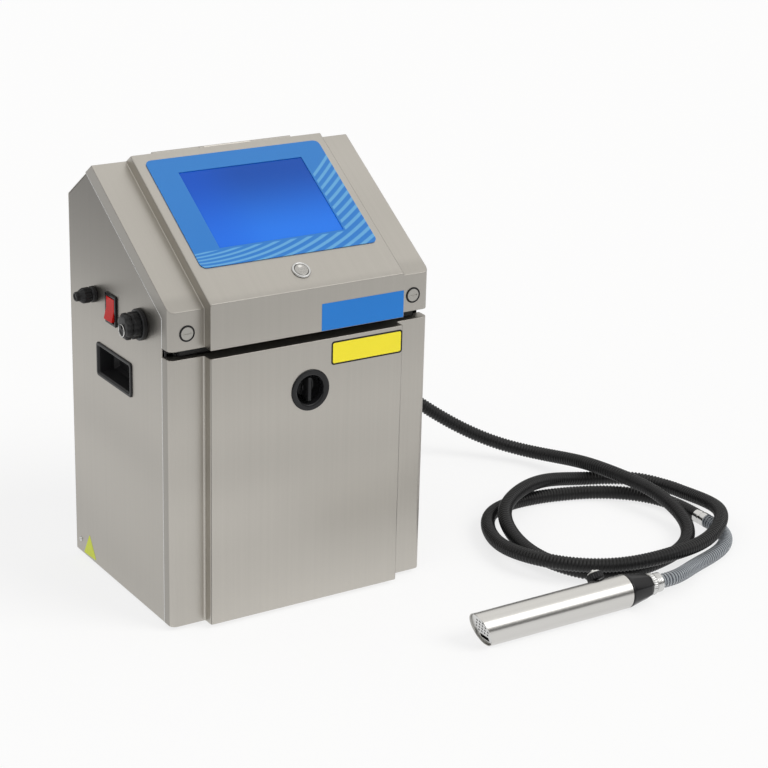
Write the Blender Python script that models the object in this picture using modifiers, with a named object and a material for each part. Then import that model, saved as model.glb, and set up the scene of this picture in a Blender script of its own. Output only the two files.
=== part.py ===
"""Date code inkjet printer: a stainless cabinet with its door, lid, fluids and electronics,
and a print head on a hose.

Frame: +X is the cabinet's right, +Y its back, +Z up. The origin is the middle of the standing face under the
base. Sizes are metres; MM turns millimetres into them.
"""

import math

import bmesh
import bpy
import numpy as np
from mathutils import Matrix, Vector

MM = 0.001

# ------------------------------------------------------------------ cabinet sizes
WIDTH = 370 * MM  # over the side flanges of the door and the lid
DEPTH = 284 * MM  # front of the door's wings to the back of the rear panel
SHEET = 1.5 * MM
FIT = 0.3 * MM  # gap between pieces that touch
SEAM = 2 * MM  # how far the side panels stand inside the flanges
PANEL_BOTTOM = 4 * MM
STEP = 16 * MM  # how far the raised centre stands out of the wings
CENTRE_WIDTH = 275 * MM
FLANGE = 20 * MM  # depth of the door's and the lid's side flanges
FLANGE_GAP = 3 * MM  # from the door's flange back to the side panel
DOOR_BOTTOM = 6 * MM
DOOR_HEIGHT = 354 * MM
LID_GAP = 10.5 * MM  # open seam between the door and the lid
WING_FRONT = 49.5 * MM  # height of the lid's upright front
RIDGE_BACK = 208.5 * MM  # from the front up the lid slope, measured level
RIDGE_RISE = 133 * MM
REAR_DROP = 53.5 * MM  # from the ridge down the rear slope
EDGE_RADIUS = 8 * MM
SMALL_RADIUS = 2.5 * MM

HALF = WIDTH / 2
FRONT = -DEPTH / 2
BACK = DEPTH / 2
CENTRE = CENTRE_WIDTH / 2
PANEL = HALF - SEAM  # outer face of a side panel
INSIDE = PANEL - SHEET - FIT  # half width of what fits between the side panels
FLANGE_BACK = FRONT + FLANGE
PANEL_FRONT = FLANGE_BACK + FLANGE_GAP
DOOR_TOP = DOOR_BOTTOM + DOOR_HEIGHT
LID_BOTTOM = DOOR_TOP + LID_GAP
INNER_BACK = BACK - SHEET - FIT  # what stands against the rear panel ends here

# ------------------------------------------------------------------ base, shelf and rail
PLINTH_INSET = 13 * MM
BASE_LIP = 12 * MM
BASE_FRONT = PANEL_FRONT + SHEET + FIT
SHELF_Z = 350 * MM
SHELF_LIP = 8 * MM
RAIL_BOTTOM = 345 * MM
RAIL_DEPTH = 21 * MM
RAIL_CHANNEL = 17 * MM
RAIL_FRONT = FLANGE_BACK + 1 * MM
RAIL_TOP = LID_BOTTOM + SHEET
SHELF_FRONT = RAIL_FRONT + RAIL_DEPTH + SHEET + 0.5 * MM
RETURN_FLANGE = 12 * MM
EAR_INSET = 0.2 * MM  # the ears are thinner than the rail's lip that they stand on

# ------------------------------------------------------------------ hinges
HINGE_RADIUS = 3.5 * MM
HINGE_PIN = 1.5 * MM
HINGE_HALF = 100 * MM
KNUCKLE = 34 * MM
LEAF = 38 * MM
DOOR_AXIS_X = -HALF + 4 * MM
DOOR_AXIS_Y = FLANGE_BACK - 2.5 * MM
DOOR_PIN = 1.5 * MM

# ------------------------------------------------------------------ latches
LATCH_X = 2 * MM
LATCH_Z = 296.7 * MM
LATCH_BEZEL = 27 * MM
LATCH_BOWL = 18.5 * MM
LATCH_DEPTH = 18 * MM
SHAFT = 5 * MM
CAM_REACH = 66 * MM
CAM_THICK = 3 * MM
LOCK_X = 161 * MM
LOCK_Z = 392 * MM
LOCK_RADIUS = 8.2 * MM
LOCK_REACH = 17 * MM

# ------------------------------------------------------------------ lid fittings, along the centre slope
OVERLAY_LEFT, OVERLAY_RIGHT = -124.5 * MM, 125.5 * MM
OVERLAY_LOW, OVERLAY_HIGH = 55.6 * MM, 237 * MM
OVERLAY_THICK = 0.8 * MM
SCREEN_LEFT, SCREEN_RIGHT = -88 * MM, 89 * MM
SCREEN_LOW, SCREEN_HIGH = 83 * MM, 211.5 * MM
GLASS_THICK = 2 * MM
DISPLAY_THICK = 22 * MM
BUTTON_X = 1.5 * MM
BUTTON_S = 30 * MM
BUTTON_RING = 12.5 * MM
BUTTON_CAP = 9 * MM

# ------------------------------------------------------------------ sides
CUP_Y, CUP_Z = 14 * MM, 301 * MM
CUP_LONG, CUP_HIGH = 100 * MM, 46 * MM
CUP_RIM = 4.5 * MM
CUP_DEEP = 28 * MM
CUP_WALL = 2 * MM
CUP_CORNER = 3 * MM
SWITCH_Y, SWITCH_Z = 18.5 * MM, 379 * MM
SWITCH_LONG, SWITCH_HIGH = 30 * MM, 40 * MM
SWITCH_RIM = 2.5 * MM
SWITCH_DEEP = 26 * MM
ROCKER_TILT = 7
GLAND_Y, GLAND_Z = 69 * MM, 385 * MM
GLAND_THREAD = 8 * MM
SOCKET_Y, SOCKET_Z = -63 * MM, 384 * MM
SOCKET_THREAD = 13 * MM
CAP_RADIUS = 17 * MM
LOOP_RADIUS = 7.5 * MM

# ------------------------------------------------------------------ inside
FAN_X, FAN_Z = -92 * MM, 432 * MM
FAN_SIZE = 80 * MM
FAN_DEEP = 25 * MM
FAN_BORE = 38 * MM
INK_LOW, INK_SIZE = (42 * MM, -92 * MM), (100 * MM, 120 * MM, 185 * MM)
SOLVENT_LOW, SOLVENT_SIZE = (-142 * MM, -92 * MM), (100 * MM, 120 * MM, 185 * MM)
NECK = 17 * MM
NECK_HIGH = 16 * MM
TANK_CAP = 22 * MM
MANIFOLD_WIDTH, MANIFOLD_HIGH, MANIFOLD_DEEP = 84 * MM, 56 * MM, 34 * MM
MANIFOLD_Z = 232 * MM
MOTOR_RADIUS = 29 * MM
PUMP_Y, PUMP_HALF, PUMP_HIGH = 84 * MM, 32 * MM, 38 * MM
FILTER_X = 92 * MM
SUPPLY_LOW, SUPPLY_HIGH, SUPPLY_TALL = (-28 * MM, 26 * MM), (132 * MM, 124 * MM), 42 * MM
BOARD_LOW, BOARD_HIGH, BOARD_PILLAR = (-142 * MM, -88 * MM), (10 * MM, 16 * MM), 8 * MM
FILTER_RADIUS = 24 * MM

# ------------------------------------------------------------------ print head and hose
HEAD_Y = -362 * MM
HEAD_LEFT, HEAD_RIGHT = 123 * MM, 357 * MM
HEAD_RADIUS = 22.5 * MM
HEAD_WALL = 1 * MM
HEAD_CUT = 20  # degrees that the open end leans back
HEAD_BOSS = 39 * MM
SCREW_X = 324 * MM
SCREW_RADIUS = 11.5 * MM
HEAD_CORE = 15 * MM  # radius of the chassis bar
HEAD_BED = -4 * MM  # height of the flat milled on the chassis, from the axis
SPIGOT = 12 * MM  # how far the boss reaches into the tube
CHASSIS_LEFT = 190 * MM
HOSE = 10 * MM  # radius of both hoses
HOSE_X, HOSE_Z = 115 * MM, 262 * MM

# The hose lies as it was put down: out of the rear gland, round behind the cabinet, and in two loose loops
# that cross over themselves beside it, down to the ferrule. Millimetres, middle of the hose.
HOSE_ROUTE = [
    (115, 190, 262),
    (115, 204, 262),
    (121, 266, 255),
    (164, 322, 227),
    (238, 330, 190),
    (320, 288, 150),
    (390, 226, 100),
    (450, 185, 55),
    (504, 140, 27),
    (548, 80, 20),
    (567, 9, 29),
    (574, -67, 36),
    (588, -140, 31),
    (582, -214, 17),
    (534, -271, 14),
    (464, -300, 15),
    (391, -291, 10),
    (341, -235, 14),
    (335, -161, 18),
    (360, -91, 29),
    (419, -45, 33),
    (487, -17, 25),
    (562, -12, 11),
    (626, -50, 11),
    (657, -119, 10),
    (648, -194, 21),
    (607, -261, 33),
    (549, -302, 32),
    (477, -319, 33),
    (404, -310, 30),
    (340, -271, 28),
    (306, -204, 24),
    (314, -131, 16),
    (353, -65, 15),
    (419, -34, 11),
    (495, -41, 10),
    (562, -72, 11),
    (611, -126, 10),
    (620, -180, 10),
    (620, -196, 10),
]
CLEAR_ROUTE = [
    (620, -219, 10),
    (620, -232, 10),
    (617, -250, 10),
    (605, -275, 10),
    (583, -296, 10),
    (553, -311, 10),
    (520, -323, 11),
    (489, -338, 15),
    (459, -354, 20),
    (432, -362, 22.5),
    (415.3, -362, 22.5),
]

# ------------------------------------------------------------------ scene and helpers
for item in list(bpy.data.objects):
    bpy.data.objects.remove(item, do_unlink=True)

PARTS = bpy.data.collections.new("date_code_printer")
CUTTERS = bpy.data.collections.new("cutters")
bpy.context.scene.collection.children.link(PARTS)
bpy.context.scene.collection.children.link(CUTTERS)

FINISHES = {
    "steel": ((0.43, 0.41, 0.37), 0.34, 1.0),
    "bright": ((0.62, 0.62, 0.62), 0.2, 1.0),
    "zinc": ((0.5, 0.5, 0.48), 0.4, 1.0),
    "black": ((0.02, 0.02, 0.02), 0.45, 0.0),
    "rubber": ((0.03, 0.03, 0.03), 0.8, 0.0),
    "blue": ((0.06, 0.26, 0.64), 0.4, 0.0),
    "glass": ((0.02, 0.12, 0.6), 0.1, 0.0),
    "red": ((0.55, 0.02, 0.02), 0.35, 0.0),
    "white": ((0.75, 0.75, 0.72), 0.5, 0.0),
    "green": ((0.02, 0.16, 0.07), 0.5, 0.0),
    "clear": ((0.6, 0.62, 0.6), 0.3, 0.0),
    "brass": ((0.6, 0.42, 0.15), 0.3, 1.0),
}


def finish(thing, kind):
    """Gives the piece its own Principled material."""
    colour, roughness, metallic = FINISHES[kind]
    made = bpy.data.materials.new(thing.name + "_finish")
    made.use_nodes = True
    shader = made.node_tree.nodes["Principled BSDF"]
    shader.inputs["Base Color"].default_value = (*colour, 1)
    shader.inputs["Roughness"].default_value = roughness
    shader.inputs["Metallic"].default_value = metallic
    thing.data.materials.clear()
    thing.data.materials.append(made)
    return thing


def add_object(name, data, group=PARTS):
    thing = bpy.data.objects.new(name, data)
    group.objects.link(thing)
    return thing


def add_mesh(name, build, group=PARTS):
    """An object from a function that fills a bmesh in world coordinates."""
    bm = bmesh.new()
    build(bm)
    bmesh.ops.recalc_face_normals(bm, faces=bm.faces)
    mesh = bpy.data.meshes.new(name)
    bm.to_mesh(mesh)
    bm.free()
    return add_object(name, mesh, group)


def box(name, low, high, rounded=0.0, along=None):
    """A block from its two corners. Edges along one axis, or all, may be rounded."""
    low, high = Vector(low), Vector(high)

    def build(bm):
        place = Matrix.Translation((low + high) / 2) @ Matrix.Diagonal((*(high - low), 1))
        bmesh.ops.create_cube(bm, size=1, matrix=place)
        if rounded:
            edges = bm.edges
            if along is not None:
                edges = [e for e in bm.edges if abs((e.verts[0].co - e.verts[1].co)[along]) > 1e-6]
            bmesh.ops.bevel(bm, geom=list(edges), offset=rounded, segments=3, profile=0.5, affect="EDGES")

    return add_mesh(name, build)


def rod(name, start, end, radius, end_radius=None, sides=24):
    """A cylinder or cone between two points."""
    start, end = Vector(start), Vector(end)
    turn = (end - start).to_track_quat("Z", "Y").to_matrix().to_4x4()

    def build(bm):
        bmesh.ops.create_cone(
            bm,
            cap_ends=True,
            segments=sides,
            radius1=radius,
            radius2=radius if end_radius is None else end_radius,
            depth=(end - start).length,
            matrix=Matrix.Translation((start + end) / 2) @ turn,
        )

    made = add_mesh(name, build)
    made.data.shade_smooth()
    made.data.set_sharp_from_angle(angle=math.radians(35))
    return made


def mesh_from_curve(curve_object):
    """Turns an extruded outline into a welded mesh that Booleans can use, each end one flat face."""
    bpy.context.view_layer.update()
    graph = bpy.context.evaluated_depsgraph_get()
    name = curve_object.name
    mesh = bpy.data.meshes.new_from_object(curve_object.evaluated_get(graph))
    place = curve_object.matrix_world.copy()
    group = curve_object.users_collection[0]
    bpy.data.objects.remove(curve_object, do_unlink=True)
    bm = bmesh.new()
    bm.from_mesh(mesh)
    bmesh.ops.remove_doubles(bm, verts=bm.verts, dist=1e-6)
    bmesh.ops.holes_fill(bm, edges=bm.edges)
    bmesh.ops.transform(bm, matrix=place, verts=bm.verts)
    bmesh.ops.recalc_face_normals(bm, faces=bm.faces)
    bm.to_mesh(mesh)
    bm.free()
    return add_object(name, mesh, group)


AXES = {
    "X": Matrix(((0, 0, 1, 0), (1, 0, 0, 0), (0, 1, 0, 0), (0, 0, 0, 1))),
    "Y": Matrix(((0, 1, 0, 0), (0, 0, 1, 0), (1, 0, 0, 0), (0, 0, 0, 1))),
    "Z": Matrix.Identity(4),
}


def prism(name, outline, axis, low, high):
    """A flat outline pushed along an axis. Outline points are (y, z) for X, (z, x) for Y and (x, y) for Z."""
    curve = bpy.data.curves.new(name, "CURVE")
    curve.dimensions = "2D"
    curve.fill_mode = "NONE"
    curve.extrude = (high - low) / 2
    spline = curve.splines.new("POLY")
    spline.points.add(len(outline) - 1)
    for point, (u, v) in zip(spline.points, outline):
        point.co = (u, v, 0, 1)
    spline.use_cyclic_u = True
    thing = add_object(name, curve)
    thing.matrix_world = AXES[axis] @ Matrix.Translation((0, 0, (low + high) / 2))
    return mesh_from_curve(thing)


def rounded(corners, radii, steps=4):
    """The outline with each corner replaced by an arc of its radius."""
    made = []
    count = len(corners)
    for i, radius in enumerate(radii):
        corner = Vector(corners[i])
        before = (Vector(corners[i - 1]) - corner).normalized()
        after = (Vector(corners[(i + 1) % count]) - corner).normalized()
        if radius <= 0:
            made.append(tuple(corner))
            continue
        half = math.acos(max(-1, min(1, before.dot(after)))) / 2
        centre = corner + (before + after).normalized() * radius / math.sin(half)
        start = (corner + before * radius / math.tan(half) - centre).normalized()
        end = (corner + after * radius / math.tan(half) - centre).normalized()
        for k in range(steps + 1):
            made.append(tuple(centre + start.slerp(end, k / steps) * radius))
    return made


def rectangle(u_low, v_low, u_high, v_high, radius=0.0, steps=4):
    corners = [(u_low, v_low), (u_high, v_low), (u_high, v_high), (u_low, v_high)]
    return rounded(corners, [radius] * 4, steps)


def turned(name, profile, centre, axis, sides=32):
    """A profile of (radius, distance) turned about an axis through centre. Distance runs along the axis."""
    mesh = bpy.data.meshes.new(name)
    top_down = sorted_down(profile)
    points = [(r, 0, h) for r, h in top_down]
    mesh.from_pydata(points, [(i, i + 1) for i in range(len(points) - 1)], [])
    thing = add_object(name, mesh)
    screw = thing.modifiers.new("turn", "SCREW")
    screw.steps = sides
    screw.render_steps = sides
    screw.use_merge_vertices = True
    screw.merge_threshold = 1e-6
    thing.matrix_world = Matrix.Translation(centre) @ Vector(axis).to_track_quat("Z", "Y").to_matrix().to_4x4(
        
    )
    return thing


def sorted_down(profile):
    """The profile listed from the far end of the axis to the near end, outer side first."""
    return profile if profile[0][1] >= profile[-1][1] else profile[::-1]


def bake(thing):
    """Replaces the object's live modifiers by the mesh that they make, in world coordinates."""
    bpy.context.view_layer.update()
    graph = bpy.context.evaluated_depsgraph_get()
    mesh = bpy.data.meshes.new_from_object(thing.evaluated_get(graph))
    mesh.transform(thing.matrix_world)
    name = thing.name
    group = thing.users_collection[0]
    bpy.data.objects.remove(thing, do_unlink=True)
    return add_object(name, mesh, group)


def hide(tool):
    for group in list(tool.users_collection):
        group.objects.unlink(tool)
    CUTTERS.objects.link(tool)
    tool.hide_render = True
    tool.display_type = "WIRE"
    return tool


def boolean(thing, tool, operation):
    step = thing.modifiers.new(operation.lower(), "BOOLEAN")
    step.operation = operation
    step.solver = "EXACT"
    step.object = hide(tool)
    return thing


def cut(thing, *tools):
    for tool in tools:
        boolean(thing, tool, "DIFFERENCE")
    return thing


def join(thing, *tools):
    for tool in tools:
        boolean(thing, tool, "UNION")
    return thing


def pivot(name, place):
    """An empty on a joint's axis. What is parented to it keeps its place."""
    empty = add_object(name, None)
    empty.empty_display_size = 0.02
    empty.location = place
    return empty


def hang(thing, empty):
    thing.parent = empty
    thing.matrix_parent_inverse = Matrix.Translation(empty.location).inverted()
    return thing


def smooth_route(points, spacing):
    """A natural cubic curve through the points by chord length, kept off the floor.

    It is read at even steps, and its first and last stretch stay straight, where the fittings grip it.
    """
    knots = np.array(points, float) * MM
    chord = np.linalg.norm(np.diff(knots, axis=0), axis=1)
    at = np.concatenate([[0], np.cumsum(chord)])
    count = len(at)
    rows = np.eye(count)
    right = np.zeros((count, 3))
    for i in range(1, count - 1):
        before, after = chord[i - 1], chord[i]
        rows[i, i - 1 : i + 2] = before, 2 * (before + after), after
        right[i] = 6 * ((knots[i + 1] - knots[i]) / after - (knots[i] - knots[i - 1]) / before)
    bend = np.linalg.solve(rows, right)
    middle = np.linspace(at[1], at[-2], round((at[-2] - at[1]) / spacing) + 1)
    where = np.concatenate([[0], middle, [at[-1]]])
    i = np.clip(np.searchsorted(at, where, side="right") - 1, 0, count - 2)
    width = chord[i][:, None]
    a = (at[i + 1] - where)[:, None]
    b = (where - at[i])[:, None]
    curve = (bend[i] * a**3 + bend[i + 1] * b**3) / (6 * width)
    curve += (knots[i] / width - bend[i] * width / 6) * a
    curve += (knots[i + 1] / width - bend[i + 1] * width / 6) * b
    curve[:, 2] = np.maximum(curve[:, 2], HOSE)
    return curve


def tube(name, points, radius, resolution=2, cyclic=False):
    curve = bpy.data.curves.new(name, "CURVE")
    curve.dimensions = "3D"
    curve.bevel_depth = radius
    curve.bevel_resolution = resolution
    curve.use_fill_caps = True
    spline = curve.splines.new("POLY")
    spline.points.add(len(points) - 1)
    for point, place in zip(spline.points, points):
        point.co = (*place, 1)
    spline.use_cyclic_u = cyclic
    return add_object(name, curve)


# ------------------------------------------------------------------ lid geometry in the side view
def meet(point, along, other, across):
    """Where two lines cross, each given by a point and a direction."""
    point, along, other, across = Vector(point), Vector(along), Vector(other), Vector(across)
    turn = along.x * across.y - along.y * across.x
    gap = other - point
    return point + along * ((gap.x * across.y - gap.y * across.x) / turn)


FRONT_TOP = LID_BOTTOM + WING_FRONT
RIDGE = Vector((FRONT + RIDGE_BACK, FRONT_TOP + RIDGE_RISE))
SLOPE = Vector((RIDGE_BACK, RIDGE_RISE)).normalized()
SLOPE_OUT = Vector((-SLOPE.y, SLOPE.x))
REAR = Vector((BACK - RIDGE.x, -REAR_DROP)).normalized()
REAR_OUT = Vector((-REAR.y, REAR.x))
UP = Vector((0, 1))
HINGE = RIDGE + REAR_OUT * (HINGE_RADIUS + 0.5 * MM)


def front_slope(out):
    """Where an upright face and the lid slope meet, both moved out from the wing by the same amount."""
    return meet((FRONT - out, 0), UP, RIDGE + SLOPE_OUT * out, SLOPE)


def slope_rear(out, rear_out):
    return meet(RIDGE + SLOPE_OUT * out, SLOPE, RIDGE + REAR_OUT * rear_out, REAR)


def back_rear(inward):
    """Where the rear wall and the rear slope meet, both moved in."""
    return meet((BACK - inward, 0), UP, RIDGE - REAR_OUT * inward, REAR)


CENTRE_LOW = front_slope(STEP)
FLANGE_CORNER = meet((FLANGE_BACK, 0), UP, RIDGE - SLOPE_OUT * FLANGE, SLOPE)
FLANGE_REAR = slope_rear(-FLANGE, 0)
HINGE_SWEEP = (FLANGE_REAR - RIDGE).length  # the lid's rear corners swing inside this


def on_slope(x, s, out=0.0):
    """World point on the raised centre's slope, s from its lower edge, out from its face."""
    place = CENTRE_LOW + SLOPE * s + SLOPE_OUT * out
    return Vector((x, place.x, place.y))


def lay_on_slope(thing):
    """Turns a piece made flat (x, s, out) so that it lies on the raised centre's slope."""
    turn = Matrix(((1, 0, 0), (0, SLOPE.x, SLOPE_OUT.x), (0, SLOPE.y, SLOPE_OUT.y))).to_4x4()
    thing.data.transform(Matrix.Translation((0, CENTRE_LOW.x, CENTRE_LOW.y)) @ turn)
    return thing


def lay_on_rear(thing):
    """Turns a piece made flat (x, distance down from the ridge, out) so that it lies on the rear slope."""
    turn = Matrix(((1, 0, 0), (0, REAR.x, REAR_OUT.x), (0, REAR.y, REAR_OUT.y))).to_4x4()
    thing.data.transform(Matrix.Translation((0, RIDGE.x, RIDGE.y)) @ turn)
    return thing


def soften(thing, radius, wanted, segments=2):
    """Rounds the straight edges whose middle and direction pass a test."""
    bm = bmesh.new()
    bm.from_mesh(thing.data)
    bmesh.ops.dissolve_limit(bm, angle_limit=1e-3, verts=bm.verts, edges=bm.edges)
    edges = []
    for edge in bm.edges:
        first, second = edge.verts[0].co, edge.verts[1].co
        if wanted((first + second) / 2, (second - first).normalized()):
            edges.append(edge)
    bmesh.ops.bevel(bm, geom=edges, offset=radius, segments=segments, profile=0.5, affect="EDGES")
    bm.to_mesh(thing.data)
    bm.free()
    return thing


# ------------------------------------------------------------------ base and panels
def make_base():
    outer = box(
        "base_plate", (-INSIDE, BASE_FRONT, PANEL_BOTTOM), (INSIDE, INNER_BACK, PANEL_BOTTOM + BASE_LIP)
    )
    inner = box(
        "base_inner",
        (-INSIDE + SHEET, BASE_FRONT + SHEET, PANEL_BOTTOM + SHEET),
        (INSIDE - SHEET, INNER_BACK - SHEET, PANEL_BOTTOM + 2 * BASE_LIP),
    )
    plinth = box(
        "plinth",
        (-INSIDE + PLINTH_INSET, BASE_FRONT + PLINTH_INSET, 0),
        (INSIDE - PLINTH_INSET, INNER_BACK - PLINTH_INSET, PANEL_BOTTOM + SHEET / 2),
        rounded=6 * MM,
        along=2,
    )
    return finish(join(cut(outer, inner), plinth), "zinc")


def side_outline():
    """A side panel's outline, from its front foot round to its rear foot."""
    under_slope = RIDGE - SLOPE_OUT * (FLANGE / 2)
    under_rear = SHEET + FIT
    return [
        (PANEL_FRONT, PANEL_BOTTOM),
        tuple(meet((PANEL_FRONT, 0), UP, under_slope, SLOPE)),
        tuple(meet(under_slope, SLOPE, RIDGE - REAR_OUT * under_rear, REAR)),
        tuple(back_rear(under_rear)),
        (BACK - under_rear, PANEL_BOTTOM),
    ]


def make_side(name, side):
    """side is -1 for the left panel and 1 for the right."""
    low, high = sorted((side * (PANEL - SHEET), side * PANEL))
    panel = prism(name, side_outline(), "X", low, high)
    inner = side * (PANEL - RETURN_FLANGE)
    low, high = sorted((inner, side * (PANEL - SHEET / 2)))
    flange = box(
        name + "_flange",
        (low, PANEL_FRONT, PANEL_BOTTOM + BASE_LIP + FIT),
        (high, PANEL_FRONT + SHEET, RAIL_BOTTOM),
    )
    join(panel, flange)
    half_long = CUP_LONG / 2 - CUP_RIM + FIT
    half_high = CUP_HIGH / 2 - CUP_RIM + FIT
    hole = rectangle(CUP_Y - half_long, CUP_Z - half_high, CUP_Y + half_long, CUP_Z + half_high, CUP_CORNER)
    cut(
        panel,
        prism(name + "_cup_hole", hole, "X", *sorted((side * (PANEL - 5 * MM), side * (PANEL + 5 * MM)))),
    )
    return panel


def side_hole(name, y, z, radius):
    return rod(name, (-PANEL - 5 * MM, y, z), (-PANEL + 5 * MM, y, z), radius)


def make_sides():
    left = make_side("left_side_panel", -1)
    right = make_side("right_side_panel", 1)
    long, high = SWITCH_LONG / 2 - SWITCH_RIM + FIT, SWITCH_HIGH / 2 - SWITCH_RIM + FIT
    cut(
        left,
        box(
            "switch_hole",
            (-PANEL - 5 * MM, SWITCH_Y - long, SWITCH_Z - high),
            (-PANEL + 5 * MM, SWITCH_Y + long, SWITCH_Z + high),
        ),
        side_hole("gland_hole", GLAND_Y, GLAND_Z, GLAND_THREAD + FIT),
        side_hole("socket_hole", SOCKET_Y, SOCKET_Z, SOCKET_THREAD + FIT),
    )
    finish(left, "steel")
    finish(right, "steel")


def make_rear():
    """The back wall, its bend up the rear slope, and a narrow flange inside each side panel."""
    top = HINGE_SWEEP + 0.6 * MM
    outer = [
        (BACK, PANEL_BOTTOM),
        tuple(back_rear(0)),
        tuple(RIDGE + REAR * top),
        tuple(RIDGE + REAR * top - REAR_OUT * SHEET),
        tuple(back_rear(SHEET)),
        (BACK - SHEET, PANEL_BOTTOM),
    ]
    rear = prism("rear_panel", outer, "X", -PANEL, PANEL)
    for side in (-1, 1):
        low, high = sorted((side * INSIDE, side * (INSIDE - SHEET)))
        join(
            rear,
            box(
                f"rear_flange_{side}",
                (low, BACK - SHEET - RETURN_FLANGE, PANEL_BOTTOM + BASE_LIP + FIT),
                (high, BACK - SHEET / 2, back_rear(SHEET).y - RETURN_FLANGE),
            ),
        )
    cut(
        rear,
        rod(
            "hose_hole",
            (HOSE_X, BACK - 5 * MM, HOSE_Z),
            (HOSE_X, BACK + 5 * MM, HOSE_Z),
            HOSE + 4 * MM + FIT,
        ),
    )
    slots = 6
    pitch = 11 * MM
    for k in range(slots):
        z = FAN_Z + (k - (slots - 1) / 2) * pitch
        cut(
            rear,
            box(
                f"vent_{k}",
                (FAN_X - FAN_BORE + 6 * MM, BACK - 5 * MM, z - 2.5 * MM),
                (FAN_X + FAN_BORE - 6 * MM, BACK + 5 * MM, z + 2.5 * MM),
            ),
        )
    return finish(rear, "steel")


def make_shelf():
    reach = INSIDE - SHEET - FIT
    shelf = box(
        "partition_shelf", (-reach, SHELF_FRONT, SHELF_Z), (reach, INNER_BACK - SHEET, SHELF_Z + SHEET)
    )
    for side in (-1, 1):
        low, high = sorted((side * reach, side * (reach - SHEET)))
        lip = box(
            f"shelf_lip_{side}",
            (low, SHELF_FRONT, SHELF_Z - SHELF_LIP),
            (high, INNER_BACK - SHEET - RETURN_FLANGE, SHELF_Z + SHEET / 2),
        )
        join(shelf, lip)
    return finish(shelf, "zinc")


def make_rail():
    """A folded channel across the front: its lip takes the door cam, its two ears take the lid cams."""
    front = RAIL_FRONT
    back = RAIL_FRONT + RAIL_DEPTH
    top = RAIL_TOP - 3 * MM
    outline = [
        (front, RAIL_BOTTOM),
        (front + SHEET, RAIL_BOTTOM),
        (front + SHEET, top - SHEET),
        (back, top - SHEET),
        (back, top - RAIL_CHANNEL),
        (back + SHEET, top - RAIL_CHANNEL),
        (back + SHEET, top),
        (front + SHEET, top),
        (front + SHEET, RAIL_TOP),
        (front, RAIL_TOP),
    ]
    rail = prism("front_cross_rail", outline, "X", -INSIDE, INSIDE)
    for side in (-1, 1):
        low, high = sorted((side * (LOCK_X - LOCK_REACH - 1 * MM), side * (LOCK_X - LOCK_REACH + 6 * MM)))
        join(
            rail,
            box(
                f"ear_{side}",
                (low, front + EAR_INSET, RAIL_TOP - 4 * MM),
                (high, front + SHEET - EAR_INSET, LOCK_Z + 8 * MM),
            ),
        )
        low, high = sorted((side * (PANEL - RETURN_FLANGE - 2 * MM), side * HALF))
        cut(
            rail,
            box(
                f"rail_end_{side}",
                (low, front - 5 * MM, RAIL_BOTTOM - 5 * MM),
                (high, PANEL_FRONT + 2 * MM, RAIL_TOP + 40 * MM),
            ),
        )
    return finish(rail, "zinc")


def make_seal():
    """A rubber strip on the rail's front face that closes the seam between the door and the lid."""
    reach = PANEL - RETURN_FLANGE - 4 * MM
    low, high = DOOR_TOP + 1 * MM, LID_BOTTOM - 0.5 * MM
    outline = rectangle(RAIL_FRONT - FIT - 12 * MM, low, RAIL_FRONT - FIT, high, 2 * MM, 3)
    return finish(prism("lid_seal", outline, "X", -reach, reach), "rubber")


# ------------------------------------------------------------------ door
def door_outline(inset):
    """The door in plan, from its rear left round the front; inset moves every wall in by the sheet."""
    side, wing = HALF - inset, FRONT + inset
    centre, face = CENTRE - inset, FRONT - STEP + inset
    rear = FLANGE_BACK + (10 * MM if inset else 0)
    corners = [
        (-side, rear),
        (-side, wing),
        (-centre, wing),
        (-centre, face),
        (centre, face),
        (centre, wing),
        (side, wing),
        (side, rear),
    ]
    outer = EDGE_RADIUS - inset
    step_in, step_out = SMALL_RADIUS + inset, SMALL_RADIUS - inset
    return rounded(corners, [0, outer, step_in, step_out, step_out, step_in, outer, 0], 3)


def make_door():
    door = prism("door", door_outline(0), "Z", DOOR_BOTTOM, DOOR_TOP)
    cut(
        door,
        prism("door_inner", door_outline(SHEET), "Z", DOOR_BOTTOM + SHEET, DOOR_TOP - SHEET),
        rod(
            "latch_hole",
            (LATCH_X, FRONT - STEP - 5 * MM, LATCH_Z),
            (LATCH_X, FRONT - STEP + 5 * MM, LATCH_Z),
            LATCH_BOWL + CUP_WALL + FIT,
            sides=40,
        ),
        rod(
            "door_pin_hole",
            (DOOR_AXIS_X, DOOR_AXIS_Y, 0),
            (DOOR_AXIS_X, DOOR_AXIS_Y, DOOR_TOP + 5 * MM),
            DOOR_PIN + FIT,
            sides=12,
        ),
    )
    finish(door, "steel")
    hinge = pivot("door_axis", (DOOR_AXIS_X, DOOR_AXIS_Y, DOOR_BOTTOM))
    hang(door, hinge)
    hang(make_latch_cup(), hinge)
    knob_axis = hang(pivot("latch_axis", (LATCH_X, FRONT - STEP, LATCH_Z)), hinge)
    for piece in make_latch_knob():
        hang(piece, knob_axis)
        piece.matrix_parent_inverse = Matrix.Translation(knob_axis.location).inverted()


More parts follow.
